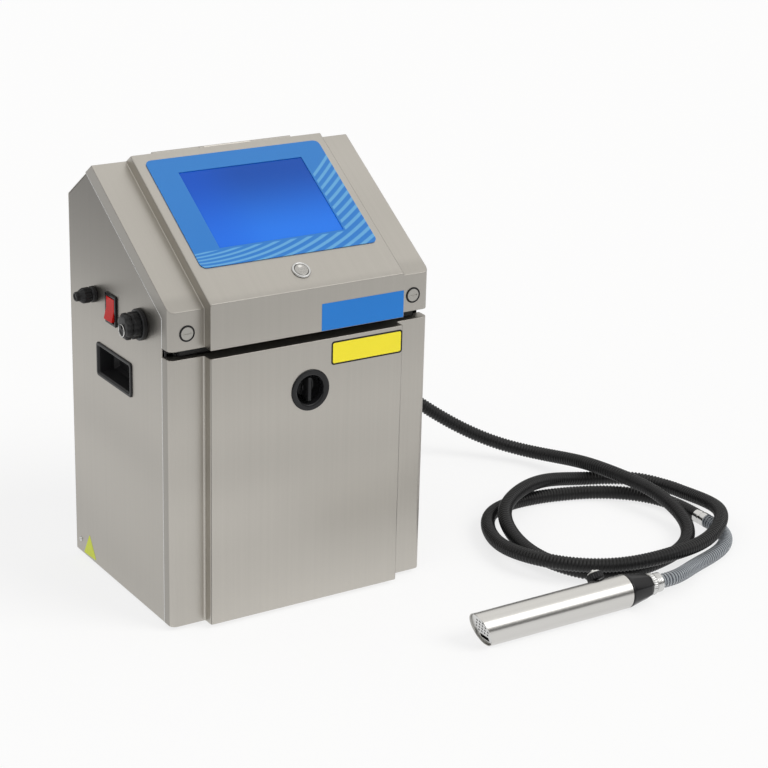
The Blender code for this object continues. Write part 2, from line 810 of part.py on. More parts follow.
def make_latch_cup():
    """The round bezel and the bowl behind it, open at the front, with the shaft's hole in its floor."""
    face = FRONT - STEP - FIT
    rim = 1.7 * MM
    floor = LATCH_DEPTH
    profile = [
        (LATCH_BEZEL - 1 * MM, rim),
        (LATCH_BEZEL, 0),
        (LATCH_BOWL + CUP_WALL, 0),
        (LATCH_BOWL + CUP_WALL - 1 * MM, -floor - CUP_WALL),
        (SHAFT + FIT, -floor - CUP_WALL),
        (SHAFT + FIT, -floor),
        (LATCH_BOWL - 5 * MM, -floor),
        (LATCH_BOWL - 1 * MM, -floor + 4 * MM),
        (LATCH_BOWL, rim),
    ]
    cup = turned("latch_cup", profile + profile[:1], (LATCH_X, face, LATCH_Z), (0, -1, 0), 40)
    return finish(bake(cup), "black")


def make_latch_knob():
    """A thumb blade on a shaft through the bowl's floor, and the cam on the shaft's inner end."""
    face = FRONT - STEP
    floor = face + LATCH_DEPTH
    cam_front = PANEL_FRONT + 2 * MM
    shaft = rod(
        "latch_knob",
        (LATCH_X, floor - 6 * MM, LATCH_Z),
        (LATCH_X, cam_front - FIT, LATCH_Z),
        SHAFT,
        sides=20,
    )
    disc = rod(
        "latch_disc", (LATCH_X, floor - 3 * MM, LATCH_Z), (LATCH_X, floor - FIT, LATCH_Z), 12 * MM, sides=28
    )
    blade = box(
        "latch_blade",
        (LATCH_X - 3 * MM, face + 1 * MM, LATCH_Z - 16 * MM),
        (LATCH_X + 3 * MM, floor - 2 * MM, LATCH_Z + 16 * MM),
        rounded=2 * MM,
    )
    knob = finish(join(shaft, disc, blade), "black")
    cam = prism(
        "latch_cam",
        [
            (LATCH_Z - 7 * MM, LATCH_X - 9 * MM),
            (LATCH_Z - 7 * MM, LATCH_X + CAM_REACH),
            (LATCH_Z + 7 * MM, LATCH_X + CAM_REACH),
            (LATCH_Z + 7 * MM, LATCH_X - 9 * MM),
        ],
        "Y",
        cam_front,
        cam_front + CAM_THICK,
    )
    return knob, finish(cam, "zinc")


def make_door_pins():
    """A fixed pin above and below the door, each on a small plate that sits on the rail or the base."""
    reach = DOOR_AXIS_X + 9 * MM
    rail_top = RAIL_TOP - 3 * MM - SHEET
    top = rod(
        "door_pin_top",
        (DOOR_AXIS_X, DOOR_AXIS_Y, DOOR_TOP - 8 * MM),
        (DOOR_AXIS_X, DOOR_AXIS_Y, rail_top - FIT),
        DOOR_PIN,
        sides=12,
    )
    plate = box(
        "top_plate",
        (-INSIDE, DOOR_AXIS_Y - DOOR_PIN - 1 * MM, rail_top - FIT - 2 * MM),
        (reach, RAIL_FRONT + RAIL_DEPTH - FIT, rail_top - FIT),
    )
    finish(join(top, plate), "zinc")
    bottom = rod(
        "door_pin_bottom",
        (DOOR_AXIS_X, DOOR_AXIS_Y, PANEL_BOTTOM),
        (DOOR_AXIS_X, DOOR_AXIS_Y, DOOR_BOTTOM + 8 * MM),
        DOOR_PIN,
        sides=12,
    )
    plate = box(
        "bottom_plate",
        (-INSIDE, DOOR_AXIS_Y - DOOR_PIN - 1 * MM, PANEL_BOTTOM),
        (reach, BASE_FRONT - FIT, PANEL_BOTTOM + SHEET),
    )
    finish(join(bottom, plate), "zinc")


# ------------------------------------------------------------------ lid
def lid_solid(name, half, out, inset):
    """The lid's band across its wings, or across the raised centre. Inset gives the hollow inside it."""
    low = LID_BOTTOM + inset
    if inset:
        deep = RIDGE + REAR * 4 * FLANGE - REAR_OUT * inset
        outline = [
            (FRONT - out + inset, low),
            tuple(front_slope(out - inset)),
            tuple(slope_rear(out - inset, -inset)),
            tuple(deep),
            (deep.x, low),
        ]
    else:
        outline = [
            (FRONT - out, low),
            tuple(front_slope(out)),
            tuple(slope_rear(out, 0)),
            tuple(FLANGE_REAR),
            tuple(FLANGE_CORNER),
            (FLANGE_BACK, low),
        ]
    return prism(name, outline, "X", -half + inset, half - inset)


def is_wing_corner(mid, way, inset):
    """The upright corner of a wing, from the middle of an edge and its direction."""
    at_side = abs(abs(mid.x) - (HALF - inset)) < 1e-5
    return at_side and mid.y < FLANGE_BACK - 5 * MM and abs(way.z) > 0.99


def is_centre_edge(mid, way):
    """A side edge of the raised centre, on its upright front or along its slope."""
    at_side = abs(abs(mid.x) - CENTRE) < 1e-5
    outside = mid.y < FRONT or mid.z > CENTRE_LOW.y
    follows = abs(way.z) > 0.99 or abs(way.dot(Vector((0, *SLOPE)))) > 0.99
    raised = (Vector((mid.y, mid.z)) - RIDGE).dot(SLOPE_OUT) > STEP / 2
    return at_side and outside and follows and raised


def make_lid():
    lid = lid_solid("lid", HALF, 0, 0)
    soften(lid, EDGE_RADIUS, lambda mid, way: is_wing_corner(mid, way, 0), 3)
    centre = lid_solid("lid_centre", CENTRE, STEP, 0)
    soften(centre, SMALL_RADIUS, is_centre_edge)
    hollow = lid_solid("lid_hollow", HALF, 0, SHEET)
    soften(hollow, EDGE_RADIUS - SHEET, lambda mid, way: is_wing_corner(mid, way, SHEET), 3)
    hollow_centre = lid_solid("lid_centre_hollow", CENTRE, STEP, SHEET)
    join(lid, centre)
    cut(lid, hollow, hollow_centre)
    for side in (-1, 1):
        low, high = sorted((side * (INSIDE - FIT), side * (HALF - SHEET)))
        notch = prism(
            f"lid_corner_{side}",
            [
                tuple(RIDGE - SLOPE_OUT * SHEET - SLOPE * 3 * MM),
                tuple(slope_rear(-SHEET, 3 * MM)),
                tuple(RIDGE + REAR * 2 * FLANGE + REAR_OUT * 3 * MM),
                tuple(RIDGE + REAR * 2 * FLANGE - REAR_OUT * 3 * MM),
            ],
            "X",
            low,
            high,
        )
        cut(lid, notch)
        cut(
            lid,
            rod(
                f"lock_hole_{side}",
                (side * LOCK_X, FRONT - 5 * MM, LOCK_Z),
                (side * LOCK_X, FRONT + 5 * MM, LOCK_Z),
                LOCK_RADIUS + FIT,
            ),
        )
    window = prism(
        "display_hole",
        rectangle(
            SCREEN_LEFT - 6 * MM,
            SCREEN_LOW - 6 * MM,
            SCREEN_RIGHT + 6 * MM,
            SCREEN_HIGH + 6 * MM,
            4 * MM,
            2,
        ),
        "Z",
        -5 * MM,
        5 * MM,
    )
    button_at = on_slope(BUTTON_X, BUTTON_S)
    out = Vector((0, *SLOPE_OUT))
    cut(
        lid,
        lay_on_slope(window),
        rod("button_hole", button_at - out * 6 * MM, button_at + out * 6 * MM, BUTTON_CAP + 1.5 * MM + FIT),
    )
    finish(lid, "steel")
    hinge = pivot("lid_axis", (0, HINGE.x, HINGE.y))
    for piece in [lid, *make_lid_fittings(), make_moving_leaf()]:
        hang(piece, hinge)
    cap = make_button_cap()
    cap_axis = hang(pivot("button_axis", button_at), hinge)
    cap_axis.matrix_parent_inverse = Matrix.Translation(hinge.location).inverted()
    hang(cap, cap_axis)
    for name, side in (("lid_lock_left", -1), ("lid_lock_right", 1)):
        lock_axis = hang(pivot(name + "_axis", (side * LOCK_X, FRONT, LOCK_Z)), hinge)
        hang(make_lid_lock(name, side), lock_axis)


def make_lid_fittings():
    """The overlay on the slope, the glass in its window, the display behind it and the button's ring."""
    overlay = prism(
        "front_overlay",
        rectangle(OVERLAY_LEFT, OVERLAY_LOW, OVERLAY_RIGHT, OVERLAY_HIGH, EDGE_RADIUS),
        "Z",
        FIT,
        FIT + OVERLAY_THICK,
    )
    opening = prism(
        "screen_hole", rectangle(SCREEN_LEFT, SCREEN_LOW, SCREEN_RIGHT, SCREEN_HIGH), "Z", -MM, 5 * MM
    )
    cut(lay_on_slope(overlay), lay_on_slope(opening))
    glass = prism(
        "touch_glass",
        rectangle(
            SCREEN_LEFT - 4 * MM,
            SCREEN_LOW - 4 * MM,
            SCREEN_RIGHT + 4 * MM,
            SCREEN_HIGH + 4 * MM,
            2 * MM,
            2,
        ),
        "Z",
        -GLASS_THICK,
        0,
    )
    display = box(
        "display_module",
        (SCREEN_LEFT - 7 * MM, SCREEN_LOW - 7 * MM, -GLASS_THICK - FIT - DISPLAY_THICK),
        (SCREEN_RIGHT + 7 * MM, SCREEN_HIGH + 7 * MM, -GLASS_THICK - FIT),
        rounded=2 * MM,
        along=2,
    )
    tabs = box(
        "display_tabs",
        (SCREEN_LEFT - 16 * MM, SCREEN_LOW + 20 * MM, -SHEET - FIT - 2.5 * MM),
        (SCREEN_RIGHT + 16 * MM, SCREEN_HIGH - 20 * MM, -SHEET - FIT - 0.6 * MM),
    )
    well = box(
        "display_well",
        (SCREEN_LEFT - 4.5 * MM, SCREEN_LOW - 4.5 * MM, -GLASS_THICK - FIT),
        (SCREEN_RIGHT + 4.5 * MM, SCREEN_HIGH + 4.5 * MM, 0),
    )
    lay_on_slope(display)
    cut(join(display, lay_on_slope(tabs)), lay_on_slope(well))
    ring = turned(
        "button_ring",
        [
            (BUTTON_RING - 1.2 * MM, 2.2 * MM),
            (BUTTON_RING, 1 * MM),
            (BUTTON_RING, FIT),
            (BUTTON_CAP + 1.5 * MM, FIT),
            (BUTTON_CAP + 1.5 * MM, -14 * MM),
            (BUTTON_CAP + FIT, -14 * MM),
            (BUTTON_CAP + FIT, 2.2 * MM),
            (BUTTON_RING - 1.2 * MM, 2.2 * MM),
        ],
        on_slope(BUTTON_X, BUTTON_S),
        (0, *SLOPE_OUT),
    )
    finish(overlay, "blue")
    finish(lay_on_slope(glass), "glass")
    finish(display, "black")
    return overlay, glass, display, finish(bake(ring), "bright")


def make_button_cap():
    cap = turned(
        "button_cap",
        [
            (0, 2.6 * MM),
            (BUTTON_CAP - 2 * MM, 2.4 * MM),
            (BUTTON_CAP, 1 * MM),
            (BUTTON_CAP, -11 * MM),
            (0, -11 * MM),
        ],
        on_slope(BUTTON_X, BUTTON_S),
        (0, *SLOPE_OUT),
        28,
    )
    return finish(bake(cap), "bright")


def make_lid_lock(name, side):
    """A quarter-turn lock flush with the lid: slotted head, shaft and a cam that catches the rail's ear."""
    x = side * LOCK_X
    cam_front = RAIL_FRONT + SHEET + 1 * MM
    head = rod(name, (x, FRONT - 0.8 * MM, LOCK_Z), (x, FRONT + SHEET, LOCK_Z), LOCK_RADIUS, sides=24)
    shaft = rod(
        name + "_shaft", (x, FRONT + 1 * MM, LOCK_Z), (x, cam_front + 2 * MM, LOCK_Z), SHAFT, sides=16
    )
    cam = box(
        name + "_cam",
        (x - 4.5 * MM, cam_front, LOCK_Z - 5 * MM),
        (x + 4.5 * MM, cam_front + 2.5 * MM, LOCK_Z + LOCK_REACH),
    )
    slot = box(
        name + "_slot",
        (x - 5.5 * MM, FRONT - 3 * MM, LOCK_Z - 0.8 * MM),
        (x + 5.5 * MM, FRONT + 0.2 * MM, LOCK_Z + 0.8 * MM),
    )
    return finish(cut(join(head, shaft, cam), slot), "bright")


def knuckle(name, low, high):
    return rod(name, (low, HINGE.x, HINGE.y), (high, HINGE.x, HINGE.y), HINGE_RADIUS, sides=20)


def hinge_bore(name):
    return rod(
        name,
        (-HINGE_HALF - MM, HINGE.x, HINGE.y),
        (HINGE_HALF + MM, HINGE.x, HINGE.y),
        HINGE_PIN + FIT,
        sides=16,
    )


def make_moving_leaf():
    """The hinge leaf on the rear face of the lid's raised centre."""
    leaf = box(
        "lid_hinge_leaf_moving",
        (-KNUCKLE + FIT, -15 * MM, FIT),
        (KNUCKLE - FIT, 0, FIT + SHEET),
    )
    lay_on_rear(leaf)
    join(leaf, knuckle("moving_knuckle", -KNUCKLE + FIT, KNUCKLE - FIT))
    return finish(cut(leaf, hinge_bore("moving_bore")), "zinc")


def make_fixed_leaf():
    """The hinge leaf on the rear slope, which passes over the lid's rear flange."""
    leaf = box("lid_hinge_leaf_fixed", (-HINGE_HALF, 0, FIT), (HINGE_HALF, LEAF, FIT + SHEET))
    gap = box("leaf_gap", (-KNUCKLE - FIT, -5 * MM, -5 * MM), (KNUCKLE + FIT, 7 * MM, 10 * MM))
    lay_on_rear(leaf)
    cut(leaf, lay_on_rear(gap))
    join(
        leaf,
        knuckle("left_knuckle", -HINGE_HALF, -KNUCKLE - FIT),
        knuckle("right_knuckle", KNUCKLE + FIT, HINGE_HALF),
    )
    return finish(cut(leaf, hinge_bore("fixed_bore")), "zinc")


def make_hinge_pin():
    reach = HINGE_HALF + 2 * MM
    pin = rod("lid_hinge_pin", (-reach, HINGE.x, HINGE.y), (reach, HINGE.x, HINGE.y), HINGE_PIN, sides=16)
    return finish(pin, "bright")


# ------------------------------------------------------------------ fittings on the sides
def make_handle_cup(name, side):
    """A recessed hand pocket: a rim outside the panel and a deep tray through it."""
    long, high = CUP_LONG / 2, CUP_HIGH / 2
    rim_in, rim_out = side * (PANEL + FIT), side * HALF
    cup = prism(
        name,
        rectangle(CUP_Y - long, CUP_Z - high, CUP_Y + long, CUP_Z + high, CUP_CORNER + 2 * MM),
        "X",
        *sorted((rim_in, rim_out)),
    )
    body_long, body_high = long - CUP_RIM, high - CUP_RIM
    tray = rectangle(
        CUP_Y - body_long, CUP_Z - body_high, CUP_Y + body_long, CUP_Z + body_high, CUP_CORNER - FIT
    )
    floor = side * (HALF - CUP_DEEP - CUP_WALL)
    join(cup, prism(name + "_tray", tray, "X", *sorted((floor, side * (HALF - 0.5 * MM)))))
    body_long, body_high = body_long - CUP_WALL, body_high - CUP_WALL
    pocket = rectangle(
        CUP_Y - body_long, CUP_Z - body_high, CUP_Y + body_long, CUP_Z + body_high, CUP_CORNER - CUP_WALL
    )
    cut(
        cup,
        prism(name + "_pocket", pocket, "X", *sorted((side * (HALF - CUP_DEEP), side * (HALF + 5 * MM)))),
    )
    return finish(cup, "black")


def make_switch():
    """A snap-in bezel with a deep well, and the rocker on its cross axis."""
    x = -PANEL - FIT
    long, high = SWITCH_LONG / 2, SWITCH_HIGH / 2
    bezel = box(
        "switch_bezel",
        (x - 2.5 * MM, SWITCH_Y - long, SWITCH_Z - high),
        (x, SWITCH_Y + long, SWITCH_Z + high),
        rounded=1 * MM,
    )
    body_long, body_high = long - SWITCH_RIM, high - SWITCH_RIM
    body = box(
        "switch_body",
        (x - 1 * MM, SWITCH_Y - body_long, SWITCH_Z - body_high),
        (x + SWITCH_DEEP, SWITCH_Y + body_long, SWITCH_Z + body_high),
    )
    wall = 1 * MM
    well = box(
        "switch_well",
        (x - 5 * MM, SWITCH_Y - body_long + wall, SWITCH_Z - body_high + wall),
        (x + SWITCH_DEEP - wall, SWITCH_Y + body_long - wall, SWITCH_Z + body_high - wall),
    )
    finish(cut(join(bezel, body), well), "black")
    reach = body_high - wall - FIT
    half_width = body_long - wall - FIT
    # Outline round the pivot, (z, x): a shallow V in front, and all corners within reach of the pivot.
    front = 6 * MM
    edge = math.sqrt(reach**2 - front**2)
    outline = [(-edge, -front), (0, -front + 1.8 * MM), (edge, -front), (12 * MM, 7 * MM), (-12 * MM, 7 * MM)]
    rocker = prism("switch_rocker", outline, "Y", -half_width, half_width)
    rocker.location = (x + 1.5 * MM, SWITCH_Y, SWITCH_Z)
    rocker.rotation_euler = (0, math.radians(ROCKER_TILT), 0)
    finish(rocker, "red")


def make_gland():
    """A plugged cable gland: dome nut and body outside, thread through the panel, lock nut inside."""
    x = -PANEL - FIT
    inner = 2 * FIT + SHEET
    profile = [
        (0, 27 * MM),
        (5 * MM, 27 * MM),
        (6 * MM, 25.5 * MM),
        (6 * MM, 21 * MM),
        (7.5 * MM, 20 * MM),
        (10 * MM, 15 * MM),
        (10 * MM, 7 * MM),
        (9 * MM, 6.6 * MM),
        (9 * MM, 5.5 * MM),
        (10.5 * MM, 5 * MM),
        (10.5 * MM, 0),
        (GLAND_THREAD, 0),
        (GLAND_THREAD, -inner),
        (11 * MM, -inner),
        (11 * MM, -inner - 5 * MM),
        (GLAND_THREAD, -inner - 5 * MM),
        (GLAND_THREAD, -inner - 8 * MM),
        (0, -inner - 8 * MM),
    ]
    finish(bake(turned("cable_gland", profile, (x, GLAND_Y, GLAND_Z), (-1, 0, 0), 24)), "black")


def make_socket():
    """A round sensor socket with its nut inside, its dust cap outside and a wire loop on the cap's stud."""
    x = -PANEL - FIT
    inner = 2 * FIT + SHEET
    barrel = 10 * MM
    profile = [
        (barrel, 17 * MM),
        (barrel, 6 * MM),
        (19 * MM, 6 * MM),
        (20 * MM, 5 * MM),
        (20 * MM, 0),
        (SOCKET_THREAD, 0),
        (SOCKET_THREAD, -inner),
        (17 * MM, -inner),
        (17 * MM, -inner - 5 * MM),
        (SOCKET_THREAD, -inner - 5 * MM),
        (SOCKET_THREAD, -inner - 10 * MM),
        (barrel - 2 * MM, -inner - 10 * MM),
        (barrel - 2 * MM, 17 * MM),
        (barrel, 17 * MM),
    ]
    socket = bake(turned("sensor_socket", profile, (x, SOCKET_Y, SOCKET_Z), (-1, 0, 0), 28))
    floor = rod(
        "socket_floor",
        (x + 4 * MM, SOCKET_Y, SOCKET_Z),
        (x + 8 * MM, SOCKET_Y, SOCKET_Z),
        barrel - 1 * MM,
        sides=28,
    )
    finish(join(socket, floor), "black")
    face = 25 * MM
    cap = [
        (0, face + 3 * MM),
        (3.5 * MM, face + 3 * MM),
        (3.5 * MM, face + 2.2 * MM),
        (2 * MM, face + 2.2 * MM),
        (2 * MM, face),
        (CAP_RADIUS - 2 * MM, face),
        (CAP_RADIUS, face - 2 * MM),
        (CAP_RADIUS, 6 * MM + FIT),
        (barrel + FIT, 6 * MM + FIT),
        (barrel + FIT, 17 * MM + FIT),
        (0, 17 * MM + FIT),
    ]
    finish(bake(turned("socket_cap", cap, (x, SOCKET_Y, SOCKET_Z), (-1, 0, 0), 28)), "black")
    wire = 0.7 * MM
    loop_x = x - face - FIT - wire
    centre = SOCKET_Z + 2 * MM + FIT + wire - LOOP_RADIUS
    turns = 20
    points = []
    for k in range(turns):
        angle = 2 * math.pi * k / turns
        points.append(
            (loop_x, SOCKET_Y + LOOP_RADIUS * math.sin(angle), centre + LOOP_RADIUS * math.cos(angle))
        )
    finish(tube("cap_lanyard", points, wire, 1, True), "bright")


# ------------------------------------------------------------------ fan and electronics
def make_fan():
    """A square axial fan on the rear panel: frame with its motor carrier, and the rotor in its bore."""
    back = INNER_BACK
    front = back - FAN_DEEP
    half = FAN_SIZE / 2
    frame = box("fan_frame", (FAN_X - half, front, FAN_Z - half), (FAN_X + half, back, FAN_Z + half))
    bore = rod("fan_bore", (FAN_X, front - MM, FAN_Z), (FAN_X, back + MM, FAN_Z), FAN_BORE, sides=40)
    cut(frame, bore)
    carrier = rod("fan_carrier", (FAN_X, back - 3 * MM, FAN_Z), (FAN_X, back, FAN_Z), 17 * MM, sides=24)
    strut = 2 * MM
    across = box(
        "fan_strut_across",
        (FAN_X - FAN_BORE - MM, back - 3 * MM, FAN_Z - strut),
        (FAN_X + FAN_BORE + MM, back - 0.2 * MM, FAN_Z + strut),
    )
    upright = box(
        "fan_strut_upright",
        (FAN_X - strut, back - 2.8 * MM, FAN_Z - FAN_BORE - MM),
        (FAN_X + strut, back - 0.1 * MM, FAN_Z + FAN_BORE + MM),
    )
    finish(join(frame, carrier, across, upright), "black")
    rotor = rod(
        "fan_rotor", (FAN_X, front + MM, FAN_Z), (FAN_X, back - 3 * MM - FIT, FAN_Z), 16 * MM, sides=24
    )
    blades = 7
    for k in range(blades):
        turn = Matrix.Translation((FAN_X, (front + back) / 2 - MM, FAN_Z)) @ Matrix.Rotation(
            2 * math.pi * k / blades, 4, "Y"
        )
        blade = box(
            f"fan_blade_{k}", (12 * MM, -10 * MM, -0.9 * MM), (FAN_BORE - 1.5 * MM, 10 * MM, 0.9 * MM)
        )
        blade.data.transform(turn @ Matrix.Rotation(math.radians(38), 4, "X"))
        join(rotor, blade)
    finish(rotor, "black")


def make_power_supply():
    z = SHELF_Z + SHEET + FIT
    case = box("power_supply", (*SUPPLY_LOW, z), (*SUPPLY_HIGH, z + SUPPLY_TALL))
    left, front = SUPPLY_LOW
    pocket = box(
        "terminal_pocket",
        (left - 2 * MM, front + 8 * MM, z + 12 * MM),
        (left + 14 * MM, SUPPLY_HIGH[1] - 8 * MM, z + SUPPLY_TALL + 8 * MM),
    )
    cut(case, pocket)
    for k in range(7):
        block = box(
            f"terminal_{k}",
            (left + 3 * MM, front + (12 + 11 * k) * MM, z + 10 * MM),
            (left + 11 * MM, front + (20 + 11 * k) * MM, z + 22 * MM),
        )
        join(case, block)
    finish(case, "zinc")


def make_control_board():
    """The main board on four pillars with its chips, connectors and capacitors."""
    z = SHELF_Z + SHEET + FIT
    low, high = BOARD_LOW, BOARD_HIGH
    board = box("control_board", (*low, z + BOARD_PILLAR), (*high, z + BOARD_PILLAR + 1.6 * MM))
    top = z + BOARD_PILLAR + 1 * MM
    for i, x in enumerate((low[0] + 6 * MM, high[0] - 6 * MM)):
        for j, y in enumerate((low[1] + 6 * MM, high[1] - 6 * MM)):
            join(board, rod(f"pillar_{i}{j}", (x, y, z), (x, y, top), 3 * MM, sides=12))
    blocks = [
        (-118, -62, 34, 34, 3),
        (-66, -70, 24, 24, 3),
        (-30, -50, 16, 30, 4),
        (-128, -10, 60, 10, 9),
        (-50, -12, 44, 10, 9),
        (-8, -78, 10, 36, 11),
    ]
    for k, (x, y, across, deep, tall) in enumerate(blocks):
        join(
            board,
            box(f"chip_{k}", (x * MM, y * MM, top), ((x + across) * MM, (y + deep) * MM, top + tall * MM)),
        )
    for k in range(3):
        at = (-86 + 16 * k) * MM
        join(
            board,
            rod(f"capacitor_{k}", (at, -32 * MM, top), (at, -32 * MM, top + 16 * MM), 5 * MM, sides=14),
        )
    finish(board, "green")


# ------------------------------------------------------------------ fluids
def make_tank(name, low, size, kind):
    """A blow-moulded bottle on the base tray with its neck near the front, and its screw cap."""
    z = PANEL_BOTTOM + SHEET + FIT
    x, y = low
    wide, deep, tall = size
    tank = box(name, (x, y, z), (x + wide, y + deep, z + tall), rounded=10 * MM)
    at = (x + wide / 2, y + deep * 0.42)
    top = z + tall
    join(tank, rod(name + "_neck", (*at, top - 2 * MM), (*at, top + NECK_HIGH), NECK, sides=28))
    cut(
        tank,
        rod(name + "_mouth", (*at, top - 40 * MM), (*at, top + NECK_HIGH + MM), NECK - 3 * MM, sides=24),
    )
    finish(tank, kind)
    cap_top = NECK_HIGH + FIT + 3 * MM
    profile = [
        (0, cap_top),
        (TANK_CAP - 1.5 * MM, cap_top),
        (TANK_CAP, cap_top - 1.5 * MM),
        (TANK_CAP, 1 * MM),
        (NECK + FIT, 1 * MM),
        (NECK + FIT, NECK_HIGH + FIT),
        (0, NECK_HIGH + FIT),
    ]
    cap = bake(turned(name + "_cap", profile, (*at, top), (0, 0, 1), 28))
    return cap


def make_manifold():
    """The valve block on the rear panel with four solenoids in a row."""
    half = MANIFOLD_WIDTH / 2
    front = INNER_BACK - MANIFOLD_DEEP
    block = box(
        "valve_manifold",
        (-half, front, MANIFOLD_Z),
        (half, INNER_BACK, MANIFOLD_Z + MANIFOLD_HIGH),
        rounded=2 * MM,
    )
    count = 4
    pitch = MANIFOLD_WIDTH / count
    for k in range(count):
        x = (k - (count - 1) / 2) * pitch
        z = MANIFOLD_Z + MANIFOLD_HIGH * 0.62
        join(
            block,
            rod(f"solenoid_{k}", (x, front - 34 * MM, z), (x, front + 2 * MM, z), 9 * MM, sides=18),
            rod(
                f"port_{k}",
                (x, front - 8 * MM, z - 22 * MM),
                (x, front + 2 * MM, z - 22 * MM),
                3.5 * MM,
                sides=12,
            ),
        )
    finish(block, "bright")


def make_pump():
    """The pump block on the base tray with its two ports, and the motor that stands on it."""
    z = PANEL_BOTTOM + SHEET + FIT
    half = PUMP_HALF
    pump = box("ink_pump", (-half, PUMP_Y - half, z), (half, PUMP_Y + half, z + PUMP_HIGH), rounded=3 * MM)
    for side in (-1, 1):
        join(
            pump,
            rod(
                f"pump_port_{side}",
                (side * (half - 2 * MM), PUMP_Y, z + 22 * MM),
                (side * (half + 12 * MM), PUMP_Y, z + 22 * MM),
                4.5 * MM,
                sides=12,
            ),
        )
    finish(pump, "bright")
    base = z + PUMP_HIGH + FIT
    profile = [
        (0, 96 * MM),
        (8 * MM, 96 * MM),
        (8 * MM, 90 * MM),
        (MOTOR_RADIUS - 3 * MM, 90 * MM),
        (MOTOR_RADIUS, 87 * MM),
        (MOTOR_RADIUS, 6 * MM),
        (MOTOR_RADIUS + 2 * MM, 6 * MM),
        (MOTOR_RADIUS + 2 * MM, 0),
        (0, 0),
    ]
    finish(bake(turned("pump_motor", profile, (0, PUMP_Y, base), (0, 0, 1), 28)), "zinc")


def make_filter():
    """The ink filter, a capsule that stands on the base tray with a hose nipple on its top."""
    z = PANEL_BOTTOM + SHEET + FIT
    profile = [
        (0, 126 * MM),
        (4 * MM, 126 * MM),
        (4 * MM, 112 * MM),
        (10 * MM, 110 * MM),
        (FILTER_RADIUS, 100 * MM),
        (FILTER_RADIUS, 92 * MM),
        (FILTER_RADIUS - 3 * MM, 91 * MM),
        (FILTER_RADIUS - 3 * MM, 12 * MM),
        (FILTER_RADIUS, 10 * MM),
        (FILTER_RADIUS, 0),
        (0, 0),
    ]
    finish(bake(turned("ink_filter", profile, (FILTER_X, PUMP_Y, z), (0, 0, 1), 28)), "white")


# ------------------------------------------------------------------ hose and print head
def make_hose():
    """The rear gland, the black hose, the ferrule where the clear hose begins, and the clear hose."""
    y = BACK + FIT
    inner = 2 * FIT + SHEET
    end = HOSE_ROUTE[0][1] * MM - FIT - y
    profile = [
        (HOSE + 1 * MM, end),
        (HOSE + 3 * MM, 12 * MM),
        (HOSE + 6 * MM, 10 * MM),
        (HOSE + 6 * MM, 0),
        (HOSE + 4 * MM, 0),
        (HOSE + 4 * MM, -inner),
        (HOSE + 8 * MM, -inner),
        (HOSE + 8 * MM, -inner - 7 * MM),
        (HOSE - 2 * MM, -inner - 7 * MM),
        (HOSE - 2 * MM, end),
        (HOSE + 1 * MM, end),
    ]
    finish(bake(turned("hose_gland", profile, (HOSE_X, y, HOSE_Z), (0, 1, 0), 24)), "black")
    spacing = 4.1 * HOSE
    route = smooth_route(HOSE_ROUTE, spacing)
    finish(tube("umbilical_hose", route, HOSE, 2), "rubber")
    clear = smooth_route(CLEAR_ROUTE, 2.2 * HOSE)
    finish(tube("clear_hose", clear, HOSE, 2), "clear")
    start, stop = Vector(route[-1]), Vector(clear[0])
    way = (stop - start).normalized()
    finish(rod("hose_ferrule", start + way * FIT, stop - way * FIT, HOSE, sides=20), "bright")


def head_point(x, y=0.0, z=0.0):
    return Vector((x, HEAD_Y + y, HEAD_RADIUS + z))


def slanted_block(name, x, thick):
    """A wide block whose right face, through the axis at x, leans back by the cut's angle."""
    block = box(name, (-thick, -2 * HEAD_RADIUS, -2 * HEAD_RADIUS), (0, 2 * HEAD_RADIUS, 2 * HEAD_RADIUS))
    block.data.transform(Matrix.Translation(head_point(x)) @ Matrix.Rotation(math.radians(-HEAD_CUT), 4, "Y"))
    return block


